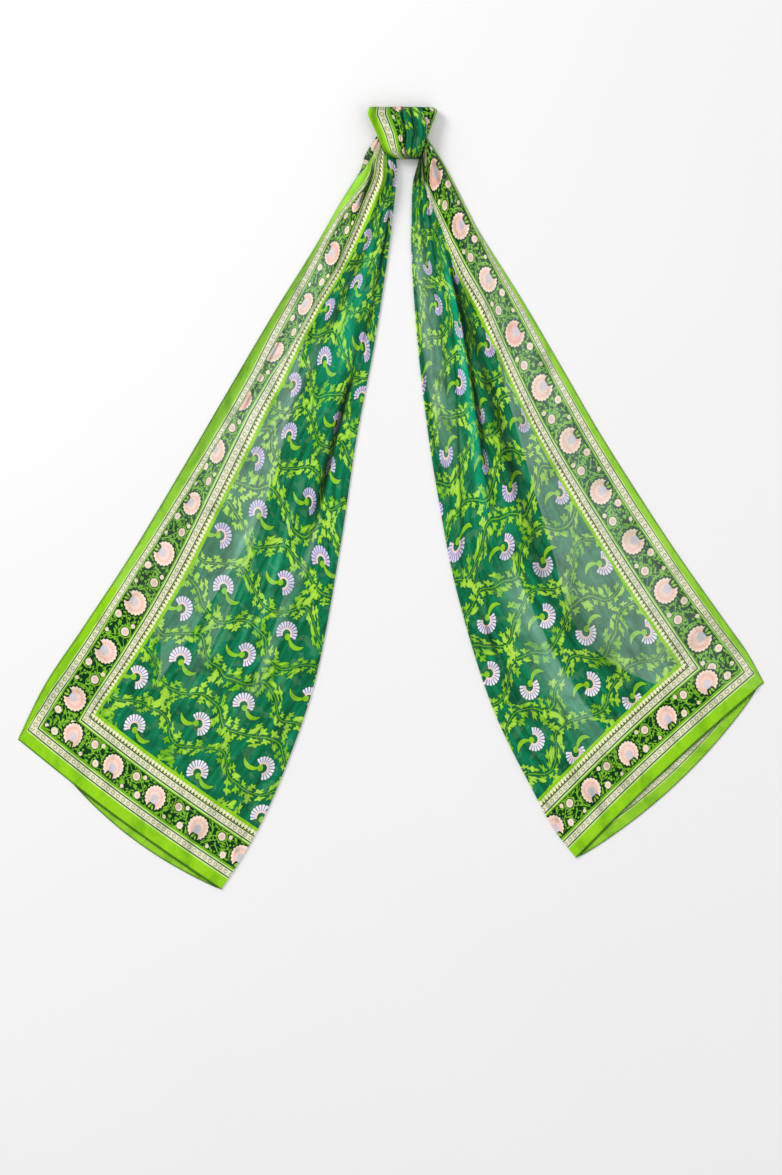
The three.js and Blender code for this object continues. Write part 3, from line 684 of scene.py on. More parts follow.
def border_flower(paint, shade, place, run, x, y):
    """A crescent flower: scalloped petals with rays, a round bite towards the cloth's edge, a
    pale speckled heart, and a calyx in the bite. Its pink varies slowly over the cloth."""
    distance = radius(x, y)
    gap = petal_gap(x.angle(y), FLOWER_PETALS)
    gap_square = gap * gap
    rim = FLOWER_RADIUS - gap_square * FLOWER_SCALLOP - distance
    bite = radius(x, y, BITE_CENTRE) - BITE_RADIUS
    flower = rim.least(bite)
    mask = flower.inside(0.6)
    shade = paint.mix((flower + 1.2).inside(0.8) * 0.6, shade, GROUND_BORDER)
    dye = paint.number(paint.noise(paint.pair(run / 95, place / 95)))
    rosy = (dye - 0.48).plus(3.2, 0, clamp=True)
    shade = paint.mix(mask, shade, paint.mix(rosy * 0.75, PETAL_PINK, PETAL_ROSY))
    rays = (gap_square - 0.58).inside(0.4) * (distance - 8.0).inside(1.5)
    shade = paint.mix(mask * rays * 0.6, shade, RAY_ROSE)
    inner = (0.7 - abs(distance - 9.4 + gap_square * 0.8)).inside(0.6)
    shade = paint.mix(mask * inner * 0.25, shade, INNER_ROSE)
    tips = (2.2 - rim).inside(1.4) * mask
    shade = paint.mix(tips * 0.75, shade, TIP_CREAM)
    heart = (HEART_RADIUS - radius(x, y, HEART_CENTRE)).least(bite + 1.6)
    shade = paint.mix(heart.inside(1.2) * 0.9, shade, HEART_GREY)
    speck = (0.5 - abs(((distance * 0.42) % 1.0) - 0.5)).inside(0.5) * rays
    shade = paint.mix(heart.inside(0.8) * speck * 0.6, shade, HEART_SPECK)
    return paint.mix(leaves(x, y, CALYX).inside(0.5), shade, CALYX_GREEN)


def border_buds(paint, shade, x_half, y):
    """Round buds between the flowers, each with a darker heart."""
    for along, inward, size, heart in BUDS:
        distance = radius(x_half, y, (along, inward))
        shade = paint.mix((size - distance).inside(0.7), shade, BUD_CREAM)
        shade = paint.mix((heart - distance).inside(1.2) * 0.7, shade, BUD_HEART)
    return shade


def border_print(paint, place, run):
    """The border by distance from the cloth's edge and distance along it."""
    shade = border_bands(paint, place)
    shade = border_rings(paint, shade, place, run)
    shade = border_beads(paint, shade, place, run)
    x = repeat(run, FLOWER_REPEAT)
    x_half = repeat(run + FLOWER_REPEAT / 2, FLOWER_REPEAT)
    y = place - FLOWER_PLACE
    shade = border_leafage(paint, shade, place, run, x, x_half, y)
    shade = border_flower(paint, shade, place, run, x, y)
    return border_buds(paint, shade, x_half, y)


def field_stems(paint, shade, a, b, tint):
    """A leafy stem that waves between each two rows of fans: three-lobed leaves on both sides,
    larger ones further apart, two large leaves and a hook at each crest, and a tendril. Leaves
    are lighter and darker by the tint."""
    row = (b / FAN_ROWS).floor()
    side = 1 - 2 * (row % 2.0)
    from_crest = repeat(a - STEM_CREST + FAN_ACROSS / 2, FAN_ACROSS)
    swing = (from_crest * (2 * math.pi / FAN_ACROSS)).cosine() * side
    across = b - row.plus(FAN_ROWS, FAN_ROWS / 2) - swing * STEM_WAVE
    over = abs(across)
    above = (across * 1000).limited()
    run = a + above * 6.0 + row * 3.7
    leaf = leaves(repeat(run, SPRIG_PITCH), over, SPRIG)
    leaf = leaf.most(leaves(repeat(run + 5.0, OUTER_PITCH), over, OUTER_SPRIG))
    big_run = a + above * (BIG_PITCH / 2) + row * 13.0
    leaf = leaf.most(leaves(repeat(big_run, BIG_PITCH), over, BIG_LEAF))
    outward = across * side
    leaf = leaf.most(leaves(from_crest, outward, CREST_LEAVES))
    hook = HOOK_HALF - abs(radius(from_crest, outward, HOOK_CENTRE) - HOOK_RADIUS)
    hook = hook.least(outward - HOOK_CENTRE[1] + 2.0)
    wound = (a * (2 * math.pi / TENDRIL_PITCH)).sine() * TENDRIL_SWING
    tendril = TENDRIL_HALF - abs(across - wound)
    stem = leaf.most(STEM_HALF - over).most(tendril).most(hook)
    shade = paint.mix((stem + 1.0).inside(0.8) * 0.6, shade, STEM_SHADE)
    lighter = (leaf / 2.0).plus(1, tint * 2.0, clamp=True)
    return paint.mix(stem.inside(0.4), shade, paint.mix(lighter, LEAF_DEEP, LEAF_BRIGHT))


def field_fans(paint, shade, a, b, violet):
    """Fan flowers with dark rays, a calyx and a bent leaf; those of the odd rows are turned
    over. Petals go from white to violet by that mask."""
    row = (b / FAN_ROWS).nearest()
    odd = row % 2.0
    y0 = b - row * FAN_ROWS
    x0 = repeat(a + odd * FAN_DROP - FAN_PLACE + FAN_ACROSS / 2, FAN_ACROSS) * (1 - 2 * odd)
    c = odd.plus(math.cos(FAN_TILT_ODD) - math.cos(FAN_TILT), math.cos(FAN_TILT))
    s = odd.plus(math.sin(FAN_TILT_ODD) - math.sin(FAN_TILT), math.sin(FAN_TILT))
    x, y = x0 * c + y0 * s, y0 * c - x0 * s
    distance = radius(x, y)
    turn = x.angle(y)
    gap = petal_gap(turn, FAN_PETALS)
    gap_square = gap * gap
    rim = FAN_RADIUS - gap_square * gap_square * 3.2 - turn * turn * 0.55 - distance
    fan = rim.least(distance - FAN_HOLE).least((FAN_HALF_SPREAD - abs(turn)) * distance)
    mask = fan.inside(0.5)
    calyx = FAN_CALYX_RADIUS - radius(x, y, FAN_CALYX)
    leaf_x, leaf_y = x0 - BENT_LEAF_CENTRE[0], y0 - BENT_LEAF_CENTRE[1]
    bend = leaf_x.angle(-leaf_y)
    bent_leaf = (bend * bend).plus(-2.3, BENT_LEAF_HALF)
    bent_leaf = bent_leaf - abs(radius(leaf_x, leaf_y) - BENT_LEAF_RADIUS)
    sprig = calyx.most(bent_leaf)
    shade = paint.mix((sprig.most(fan) + 1.1).inside(0.8) * 0.65, shade, FAN_SHADE)
    shade = paint.mix(sprig.inside(0.5), shade, FAN_LEAF)
    shade = paint.mix(mask, shade, paint.mix(violet * 0.8, FAN_WHITE, FAN_VIOLET))
    tint = ((12.5 - distance) / 6.0).limited() * mask
    shade = paint.mix(tint * violet.plus(0.45, 0.35), shade, FAN_TINT)
    rays = (gap_square - 0.54).inside(0.35) * (distance - 8.2).inside(0.8)
    shade = paint.mix(mask * rays * 0.95, shade, FAN_RAY)
    heart = (1.25 - abs(distance - 6.6)).inside(0.5) * mask
    return paint.mix(heart, shade, FAN_HEART)


def field_print(paint, a, b):
    """The field on the flat cloth: streaky ground, stems and fans. A slow noise shifts the
    repeats, so that no two are quite the same."""
    streak = paint.number(paint.noise(paint.pair(a / 7, b / 60), detail=2.0))
    streaked = ((streak - 0.5) * 1.7).plus(1, 0.45, clamp=True)
    shade = paint.mix(streaked, GROUND_DEEP, GROUND_BRIGHT)
    drift = paint.noise(paint.pair(a / 38, b / 38))
    split = paint.node("SeparateXYZ", {}, {0: drift.outputs[1]})
    shift_a, shift_b, tint = (paint.number(split, k) - 0.5 for k in range(3))
    shade = field_stems(paint, shade, a + shift_a * 16.0, b + shift_b * 16.0, tint)
    violet = ((380.0 - abs(b - 560.0)) / 260.0).limited()
    return field_fans(paint, shade, a + shift_a * 2.4, b + shift_b * 2.4, violet)


def layered(paint, shade, in_field, field_a, field_b):
    """What the layers do to the dyes: a veil where one layer lies alone, a hint of print where
    another lies behind, painted shade in creases and painted highlights on ridges, and the paler
    wrong side of the cloth."""
    doubled = paint.field("doubled").inside(0.9)
    tone, sheer, reverse = (paint.field(key) for key in ("tone", "sheer", "reverse"))
    behind = paint.number(paint.noise(paint.pair(field_a / 17, field_b / 13), detail=1.5))
    ghost = (behind - 0.60).inside(0.06) * doubled * in_field
    shade = paint.mix(ghost * 0.10, shade, GHOST_GREEN)
    alone = (1 - doubled + sheer).most(0)
    shade = paint.mix(alone * in_field.plus(0.15, 0.05), shade, VEIL)
    # painted shade darkens the creases and a painted highlight lightens the ridges, by the
    # painted shading field
    shade = paint.mix((-tone).limited() * 0.92, shade, CREASE_PAINTED_SHADE, "MULTIPLY")
    shade = paint.mix(tone.limited() * 0.7, shade, RIDGE_PAINTED_HIGHLIGHT, "SCREEN")
    return paint.mix(reverse * 0.2, shade, WRONG_SIDE)


def crumpled(paint, shade, crumple):
    """Soft light and shade of small crumples, by a cloudy noise."""
    low, high = ((0.5 - crumple) * 4.0).limited(), ((crumple - 0.5) * 4.0).limited()
    shade = paint.mix(low * 0.5, shade, CRUMPLE_DARK, "MULTIPLY")
    return paint.mix(high * 0.22, shade, CRUMPLE_LIGHT, "SOFT_LIGHT")


def woven(paint, uv):
    """Threads: fine uneven lines both ways, added."""
    both_ways = []
    for stretch in ((1500.0, 90.0, 1.0), (90.0, 1500.0, 1.0)):
        scaled = paint.node("VectorMath", {"operation": "MULTIPLY"}, {0: uv, 1: stretch})
        both_ways.append(paint.number(paint.noise(scaled.outputs[0], detail=1.0)))
    return both_ways[0] + both_ways[1]


def printed_cloth(name):
    """Sheer woven cloth with its print. Where one layer lies alone it is pale, it deepens
    where the cloth is doubled or gathered, and the wrong side is paler. Creases carry painted
    shade, ridges a painted highlight, and crumples painted light and shade."""
    paint = Paint(name)
    uv = paint.node("UVMap", {"uv_map": "cloth"}).outputs[0]
    split = paint.node("SeparateXYZ", {}, {0: uv})
    a, b = paint.number(split, 0) / MM, paint.number(split, 1) / MM
    place = a.least(b)
    on_side = (b - a).inside(0.2)
    pitch = FLOWER_REPEAT / HEM_FLOWERS
    hem_run = a.plus(pitch, FLOWER_REPEAT / 2 - HEM_FIRST_FLOWER * pitch)
    run = on_side.plus(paint.field("side_run") - hem_run, hem_run)
    field_a, field_b = paint.field("field_a"), paint.field("field_b")
    in_field = (place - BORDER_MM["field"] + 0.1).inside(0.4)
    shade = paint.mix(in_field, border_print(paint, place, run),
                      field_print(paint, field_a, field_b))
    shade = layered(paint, shade, in_field, field_a, field_b)
    crumple = paint.number(paint.noise(paint.pair(a / 26, b / 40), detail=3.0,
                                       distortion=0.6))
    shade = crumpled(paint, shade, crumple)
    weave = woven(paint, uv)
    fleck = ((weave - 1.0) * 0.8).plus(1, 0.5, clamp=True)
    shade = paint.mix(0.3, shade, paint.mix(fleck, FLECK_DARK, FLECK_LIGHT), "OVERLAY")
    folds = paint.node("Bump", {}, {"Strength": 0.5, "Distance": 0.004, "Height": crumple})
    bump = paint.node("Bump", {}, {"Strength": 0.3, "Distance": 0.0004, "Height": weave,
                                   "Normal": folds.outputs[0]})
    return paint.finish(Base_Color=shade, Roughness=(weave * 0.12).plus(1, 0.46), IOR=1.42,
                        Specular_IOR_Level=0.12, Sheen_Weight=0.03, Sheen_Roughness=0.5,
                        Normal=bump.outputs[0])


def even_cloth(name, base):
    """Plain dyed thread or cloth with a fine unevenness, by the piece's own place."""
    paint = Paint(name)
    place = paint.node("TexCoord").outputs["Object"]
    noise = paint.node("TexNoise", {}, {"Vector": place, "Scale": 900.0, "Detail": 1.0})
    amount = paint.number(noise)
    shade = paint.mix(0.7, paint.mix(amount, base, LIME_DEEP), base)
    return paint.finish(Base_Color=shade, Roughness=amount.plus(0.2, 0.6))


def pale_surface(name):
    """Plain pale paper under the cloth."""
    paint = Paint(name)
    place = paint.node("TexCoord").outputs["Object"]
    amount = paint.number(paint.node("TexNoise", {}, {"Vector": place, "Scale": 3.0}))
    shade = paint.mix(amount, (0.90, 0.90, 0.90, 1), (0.92, 0.92, 0.92, 1))
    return paint.finish(Base_Color=shade, Roughness=0.9, Specular_IOR_Level=0.1)


# ------------------------------------------------------------------ camera, surface and light
VIEW_ROWS, ZERO_ROW, MM_PER_ROW = 1175, 497, 1.18   # ZERO_ROW is where the tables have Y 0
VIEW_CENTRE_Y = (ZERO_ROW - VIEW_ROWS / 2) * MM_PER_ROW + ROW_SHIFT_Y
CAMERA_HEIGHT, SENSOR = 6.0, 36.0
camera = bpy.data.objects.new("camera", bpy.data.cameras.new("camera"))
camera.location = (0, VIEW_CENTRE_Y * MM, CAMERA_HEIGHT)
camera.data.sensor_width = SENSOR
camera.data.lens = SENSOR * CAMERA_HEIGHT / (VIEW_ROWS * MM_PER_ROW * MM)
camera.data.clip_end = 50
bpy.context.collection.objects.link(camera)
bpy.context.scene.camera = camera

SURFACE_HALF = 4000.0
SQUARE = np.array([[-1, -1, 0], [1, -1, 0], [1, 1, 0], [-1, 1, 0]])
new_piece("surface", SQUARE * SURFACE_HALF, [[0, 1, 2, 3]],
                   pale_surface("pale_surface"))

world = bpy.data.worlds.new("studio")
bpy.context.scene.world = world
world.use_nodes = True
world.node_tree.nodes["Background"].inputs[0].default_value = (1, 1, 1, 1)
world.node_tree.nodes["Background"].inputs[1].default_value = 0.66


def soft_light(name, place, size, power):
    """A square soft light at a place, aimed at the middle of the shawl."""
    light = bpy.data.lights.new(name, "AREA")
    light.size, light.energy = size, power
    made = bpy.data.objects.new(name, light)
    made.location = place
    made.rotation_euler = made.location.to_track_quat("Z", "Y").to_euler()
    bpy.context.collection.objects.link(made)


soft_light("key", (-2.1, 1.9, 2.0), 1.2, 62)
soft_light("fill", (2.2, -1.4, 2.8), 2.4, 16)
bpy.context.scene.view_settings.view_transform = "Standard"

PRINTED = printed_cloth("printed_cloth_looks")
HIDDEN = even_cloth("hidden_cloth_looks", colour(10, 84, 56))
THREAD = even_cloth("hem_thread_looks", colour(24, 88, 20))


# ------------------------------------------------------------------ the tails
def tail_rows(sections):
    """Row numbers spaced evenly by distance from the knot, closer near the hem, and that
    distance, measured down the middle of the sections."""
    middle_x = (sections["outer_x"] + sections["inner_x"]) / 2
    middle_y = (sections["outer_y"] + sections["inner_y"]) / 2
    by_row = np.append(0, np.cumsum(np.hypot(np.diff(middle_x), np.diff(middle_y))))
    fine = np.linspace(0, len(by_row) - 1, 6000)
    end = by_row[-1]
    close = np.linspace(end - CLOSE_ROWS_FROM, end - EDGE_STEPS[-1], CLOSE_ROWS)
    edge = (end - EDGE_STEPS[:-1])[::-1]
    even = np.linspace(0, close[0], ROWS - len(close) - len(edge) + 1)[:-1]
    wanted = np.concatenate([even, close, edge])
    place = np.interp(wanted, read_smooth(by_row, fine), fine)
    return place, wanted[:, None]


def tail_grid(sections):
    """Where a tail's rows and columns lie. A row runs straight across the cloth, from the
    selvedge to the fold, and back below to the under layer's edge. Shares across are 0 at the
    selvedge and 1 at the fold; columns are closer at the rolled edges."""
    place, along = tail_rows(sections)
    grid = SimpleNamespace(along=along, **{key: read_smooth(column, place)[:, None]
                                           for key, column in sections.items()})
    step_x, step_y = grid.inner_x - grid.outer_x, grid.inner_y - grid.outer_y
    grid.width = np.hypot(step_x, step_y)
    grid.across_x, grid.across_y = step_x / grid.width, step_y / grid.width
    turned = np.where(grid.across_x > 0, 1.0, -1.0)
    grid.hem_x, grid.hem_y = grid.across_y * turned, -grid.across_x * turned
    grid.tucked = grid.tuck / grid.width
    grid.last = 1 - (LAYER / 2 + WALL / 2) / grid.width
    edge = EDGE_STEPS / grid.width
    even = np.linspace(0, 1, UPPER_COLUMNS - len(EDGE_STEPS) + 1)[None, :]
    grid.upper = np.concatenate(
        [edge[:, :-1], edge[:, -1:] + even * (grid.last - edge[:, -1:])], axis=1)
    even = np.linspace(0, 1, UNDER_COLUMNS - len(EDGE_STEPS) + 2)[None, 1:]
    grid.under = np.concatenate(
        [grid.last + even * (grid.tucked + edge[:, -1:] - grid.last),
         grid.tucked + edge[:, -2::-1]], axis=1)
    grid.reach = grid.upper * grid.width
    return grid


def lapping(grid, share):
    """How the under layer's hem comes out: a half sine from its edge to the fold."""
    return np.sin(np.pi * np.clip((share - grid.tucked) / (1 - grid.tucked), 0, 1)) ** 0.8


def plan(tail, grid, share, lap):
    """Place in plan: along the section, bulged towards the hem by a half sine, more so below
    by another from the under layer's edge on, and eased near the knot to the line of the
    band's edge."""
    hump = grid.bow * np.sin(np.pi * np.clip(share, 0, 1)) + lap * lapping(grid, share)
    x = grid.outer_x + grid.across_x * share * grid.width + grid.hem_x * hump
    y = grid.outer_y + grid.across_y * share * grid.width + grid.hem_y * hump
    ease = np.clip(1 - grid.along / EASE, 0, 1) ** 2
    top = {key: column[0] for key, column in tail.sections.items()}
    line_x = top["outer_x"] + (top["inner_x"] - top["outer_x"]) * share
    line_y = top["outer_y"] + (top["inner_y"] - top["outer_y"]) * share
    edge_x = np.interp(line_y, BAND_EDGES["y"], BAND_EDGES[tail.edge_column]) + tail.seat
    return x + ease * (edge_x - line_x), y


def fold_fields(folds, share, width, along):
    """Sums of the creases' lift, painted shading (painted shade below 0, a painted highlight
    above
    0) and sheer, and the cloth that they take up: each is a ridge across, leaning to one side,
    that grows over its first fifth and dies over its last two fifths."""
    lift = tone = sheer = taken = np.zeros(share.shape)
    for start, end, begin, stop, half, spread, lean, high, dark, thin, hidden in zip(
            *folds.values()):
        run = (along - begin) / (stop - begin)
        place = np.clip(run, 0, 1)
        distance = (share - start - (end - start) * place) * width
        wide = half + (spread - half) * place
        wide = wide * np.where(distance > 0, 1 + lean, 1 - lean)
        grown = smooth(run / 0.2) * smooth((1 - run) / 0.4)
        shown = ridge(distance, wide) * grown
        lift, tone, sheer = lift + high * shown, tone + dark * shown, sheer + thin * shown
        taken = taken + hidden * grown * smooth(distance / (2 * wide) + 0.5)
    return lift, tone, sheer, taken


def pleat_height(pleats, grid):
    """The sum of the pleats' heights: cos^2 ridges that widen and fall away down the tail."""
    total = np.zeros(grid.reach.shape)
    for start, end, begin, stop, high, half, spread in zip(*pleats.values()):
        run = (grid.along - begin) / (stop - begin)
        place = np.clip(run, 0, 1)
        shown = np.where(run < 0, smooth(1 + run / 0.3), (1 - place) ** 1.15)
        from_middle = grid.reach - (start + (end - start) * place) * grid.width
        total = total + high * shown * ridge(from_middle, half + (spread - half) * place)
    return total


def upper_height(tail, grid, lift):
    """Height of the upper layer: it climbs onto the under layer's edge, is domed near the
    knot, and rises over pleats and creases, which are calmed near both edges."""
    to = grid.tuck - np.minimum(RAMP_CLEAR, grid.tuck / 4)
    start = to - np.minimum(RAMP, grid.tuck / 2)
    climbed = LAYER * smooth((grid.reach - start) / (to - start))
    dome = np.sin(np.pi * np.clip(grid.upper, 0, 1)) ** DOME_FULLNESS
    calm = smooth(grid.upper / CALM_SHARE) * smooth((1 - grid.upper) / CALM_SHARE)
    relief = np.maximum(calm * (pleat_height(tail.pleats, grid) + lift), LEAST_RELIEF)
    return WALL / 2 + climbed + np.maximum(grid.rise, 0) * dome + relief


def sheet_middle(tail, grid, height):
    """The middle of the sheet: the upper layer, a half turn at the lengthwise fold, and the
    under layer flat on the surface."""
    upper_x, upper_y = plan(tail, grid, grid.upper, 0)
    top_layer = np.stack([upper_x, upper_y, height], axis=2)
    angle = np.pi * np.arange(1, TURN_COLUMNS + 1)[None, :] / TURN_COLUMNS
    out = LAYER / 2 * np.sin(angle)
    top = height[:, -1:] - WALL / 2
    turn = np.stack([upper_x[:, -1:] + grid.across_x * out,
                     upper_y[:, -1:] + grid.across_y * out,
                     WALL / 2 + top / 2 * (1 + np.cos(angle))], axis=2)
    under_x, under_y = plan(tail, grid, grid.under, grid.lap)
    low_layer = np.stack([under_x, under_y, np.full(grid.under.shape, WALL / 2)], axis=2)
    middle = np.concatenate([top_layer, turn, low_layer], axis=1)
    middle[..., 1] += ROW_SHIFT_Y
    return middle


def cloth_across(tail, grid):
    """Distance in from the selvedge on the flat cloth, over the upper layer: straight lines
    between the places of the border's lines, then the field, fuller near the knot. Where a
    pinch hides part of the flowered band, only its inner part shows."""
    along, share = grid.along, grid.upper
    columns = {name: np.interp(along, tail.border["along"], tail.border[name])
               for name in BORDER_MM}
    marks = dict(BORDER_MM)
    if tail.pinched:
        seen = (columns["flowers_to"] - columns["flowers_from"]) * grid.width
        seen = seen / DRAWN_IN ** 0.7
        pinch = smooth((along - 240) / 40) * smooth((440 - along) / 40)
        whole = marks["flowers_to"] - marks["flowers_from"]
        marks["flowers_from"] = marks["flowers_from"] + pinch * np.maximum(whole - seen, 0)
    knots = [(np.zeros_like(along), 0.0)] + [(columns[name], marks[name]) for name in marks]
    cloth = np.zeros(share.shape)
    for (low, low_mm), (high, high_mm) in zip(knots[:-1], knots[1:]):
        step = (share - low) / np.maximum(high - low, 1e-6)
        between = (share >= low) & (share < high)
        cloth = np.where(between, low_mm + (high_mm - low_mm) * step, cloth)
    fullness = 1.2 + 0.4 * smooth((500 - along) / 150) + 0.9 * smooth((280 - along) / 120)
    beyond = BORDER_MM["field"] + (share - columns["field"]) * grid.width * fullness
    return np.where(share >= columns["field"], beyond, cloth)


def under_across(grid, fold_at):
    """Distance in from the selvedge over the under layer: near the knot the cloth is gathered
    evenly between its edge and the fold, and further down its border is open."""
    from_edge = (grid.under - grid.tucked) * grid.width
    spare = (grid.last - grid.tucked) * grid.width
    edging, eased = from_edge * UNDER_FULLNESS, spare * UNDER_FULLNESS
    stretch = (fold_at - BORDER_OPEN) / np.maximum(eased - BORDER_OPEN, 1)
    inner = BORDER_OPEN + (edging - BORDER_OPEN) * stretch
    opened = np.where(edging < BORDER_OPEN, edging, inner)
    gathered = from_edge * fold_at / spare
    return gathered + (opened - gathered) * smooth((eased - OPEN_FROM) / OPEN_OVER)


def up_from_hem(middle):
    """Distance up from the hem on the flat cloth, with what lies drawn in across let out."""
    flat = middle.copy()
    flat[..., 0] /= DRAWN_IN
    steps = np.linalg.norm(np.diff(flat[::-1], axis=0), axis=2)
    return np.concatenate([np.zeros((1, middle.shape[1])), np.cumsum(steps, axis=0)])[::-1]


def make_tail(tail):
    """One tail: a single sheet as rows across it. Returns the piece, the sheet's middle and
    the side of it that faces up."""
    grid = tail_grid(tail.sections)
    lift, tone, sheer, taken = fold_fields(tail.folds, grid.upper, grid.width, grid.along)
    middle = sheet_middle(tail, grid, upper_height(tail, grid, lift))

    # the flat cloth's coordinates; near the knot the selvedge is turned over, and painted shade
    # darkens it there
    in_upper = cloth_across(tail, grid) + taken
    turned_over = grid.along < tail.turn_over * (1 - grid.upper / TURNED_SHARE)
    turned_over = turned_over & (grid.upper < TURNED_SHARE)
    in_upper = np.where(turned_over, TURNED_FROM - grid.reach * TURNED_STEP, in_upper)
    tone = np.where(turned_over, tone + TURNED_PAINTED_SHADE, tone)
    fold_at = in_upper[:, -1:]
    turn = fold_at + np.zeros((1, TURN_COLUMNS))
    across = np.concatenate([in_upper, turn, under_across(grid, fold_at)], axis=1)
    up = up_from_hem(middle)
    field_a, field_b = across, up
    if tail.turned_print:
        field_a, field_b = TURNED_PRINT_A - across, TURNED_PRINT_B - up
    side_run = (up - tail.first_flower) * FLOWER_REPEAT / tail.flower_pitch

    # the layers, and the shade of the upper hem on the lap of the under one
    below = np.zeros((ROWS, TURN_COLUMNS + UNDER_COLUMNS))
    again = np.interp(grid.along, tail.doubled_again["along"], tail.doubled_again["share"],
                      left=-1)
    doubled = np.maximum(grid.reach - grid.tuck, (again - grid.upper) * grid.width)
    from_hem = grid.along[-1] - grid.along
    lapped = grid.lap[-1] * lapping(grid, grid.under)[-1:] - from_hem
    hem_shade = HEM_SHADE * ridge(lapped - HEM_SHADE_FROM, HEM_SHADE_HALF)
    fields = {
        "doubled": np.concatenate([doubled, below + DOUBLED], axis=1),
        "tone": np.concatenate([tone, below[:, :TURN_COLUMNS], hem_shade], axis=1),
        "sheer": np.concatenate([sheer, below + UNDER_SHEER], axis=1),
        "side_run": side_run + FLOWER_REPEAT / 2, "field_a": field_a, "field_b": field_b,
    }

    # the rolled hem: thickest a little in from the edge
    from_edge = (grid.under - grid.tucked) * grid.width
    inland = np.full((ROWS, TURN_COLUMNS), CLOSE_ROWS_FROM)
    in_from_edge = np.minimum(np.concatenate([grid.reach, inland, from_edge], axis=1), from_hem)
    rolled = np.exp(-((in_from_edge - ROLL_MIDDLE) / ROLL_SPREAD) ** 2)
    half = HALF_CLOTH + (HALF_ROLL - HALF_CLOTH) * np.where(in_from_edge < 0.1, 0, rolled)
    sign = 1.0 if grid_normals(middle)[ROWS // 2, UPPER_COLUMNS // 2, 2] > 0 else -1.0
    uv = np.stack([across, up], axis=2) * MM
    return cloth_shell(tail.name, middle, half, sign, PRINTED, uv, **fields), middle, sign


def make_stitches(name, middle, sign):
    """Hand stitches over the rolled hem, one after another down the selvedge and along both
    layers' hems: small slanting bars that lie on the roll."""
    normal = grid_normals(middle) * sign
    inner = len(EDGE_STEPS)
    first_under = UPPER_COLUMNS + TURN_COLUMNS
    edges = [(middle[:, 0], middle[:, inner - 1], normal[:, 2]),
             (middle[-1, :UPPER_COLUMNS], middle[-inner, :UPPER_COLUMNS],
              normal[-3, :UPPER_COLUMNS]),
             (middle[-1, first_under:], middle[-inner, first_under:],
              -normal[-3, first_under:])]
    bars = []
    for outer, inside, up in edges:
        length = np.append(0, np.cumsum(np.linalg.norm(np.diff(outer, axis=0), axis=1)))
        places = np.arange(STITCH_PITCH, length[-1] - STITCH_PITCH, STITCH_PITCH)
        at, inward, rise = (
            np.stack([np.interp(places, length, values[:, k]) for k in range(3)], axis=1)
            for values in (outer, inside - outer, up))
        inward = inward / np.linalg.norm(inward, axis=1, keepdims=True)
        ahead = np.cross(rise, inward)
        corners = [at + inward * in_mm + rise * (high_mm + over_mm) + ahead * (lean + side_mm)
                   for in_mm, high_mm, lean in STITCH_ENDS
                   for side_mm in (-STITCH_HALF, STITCH_HALF)
                   for over_mm in (0.0, STITCH_THICK)]
        bars.append(np.stack(corners, axis=1))
    bars = np.concatenate(bars)
    box = np.array([[0, 1, 3, 2], [4, 6, 7, 5], [0, 4, 5, 1], [2, 3, 7, 6], [1, 5, 7, 3],
                    [0, 2, 6, 4]])
    faces = (np.arange(len(bars))[:, None, None] * 8 + box[None]).reshape(-1, 4)
    first = bars[0][box]
    outward = np.cross(first[:, 1] - first[:, 0], first[:, 2] - first[:, 0])
    if (outward * (first.mean(axis=1) - bars[0].mean(axis=0))).sum() < 0:
        faces = faces[:, ::-1]
    return new_piece(name, bars.reshape(-1, 3), faces.tolist(), THREAD)


LEFT = SimpleNamespace(
    name="left_stretch", sections=LEFT_SECTIONS, pleats=LEFT_PLEATS, folds=LEFT_FOLDS,
    border=LEFT_BORDER, edge_column="left", seat=-SEAT, first_flower=86.0, flower_pitch=72.0,
    turned_print=False, pinched=True, turn_over=46.0, doubled_again=LEFT_AGAIN)
RIGHT = SimpleNamespace(
    name="right_stretch", sections=RIGHT_SECTIONS, pleats=RIGHT_PLEATS, folds=RIGHT_FOLDS,
    border=RIGHT_BORDER, edge_column="right", seat=SEAT, first_flower=97.0, flower_pitch=75.3,
    turned_print=True, pinched=False, turn_over=-1.0, doubled_again=RIGHT_AGAIN)
left, left_middle, left_sign = make_tail(LEFT)
right, right_middle, right_sign = make_tail(RIGHT)
left_stitches = make_stitches("left_hem_stitches", left_middle, left_sign)
right_stitches = make_stitches("right_hem_stitches", right_middle, right_sign)


# ------------------------------------------------------------------ the knot
def rounded_loop(form, inset):
    """A rounded box loop in the plane across the knot: points all round, and how far each
    faces up. Its upper corners are round and its lower ones tight, and the flat above is split
    evenly. form gives its lowest and highest Y, its height, both radii and the steps."""
    low_y, high_y, height, top_radius, base_radius, corner_steps, flats = form
    low_y, high_y = low_y + inset, high_y - inset
    low_z, high_z = inset, height - inset
    top, base = top_radius - inset, max(base_radius - inset, LEAST_RADIUS)
    parts = []

    def corner(y, z, radius_mm, turns):
        angle = np.pi / 2 * (turns + np.arange(corner_steps + 1) / corner_steps)
        parts.append(np.stack([y + radius_mm * np.cos(angle), z + radius_mm * np.sin(angle),
                               np.sin(angle)], axis=1))

    corner(low_y + base, low_z + base, base, 2)
    corner(high_y - base, low_z + base, base, 3)
    corner(high_y - top, high_z - top, top, 0)
    share = np.arange(1, flats) / flats
    parts.append(np.stack([(high_y - top) + (low_y - high_y + 2 * top) * share,
                           np.full(flats - 1, high_z), np.ones(flats - 1)], axis=1))
    corner(low_y + top, high_z - top, top, 1)
    return np.concatenate(parts).T


def run_round(y, z):
    """Distance round a loop from its first point."""
    return np.append(0, np.cumsum(np.hypot(np.diff(y), np.diff(z))))


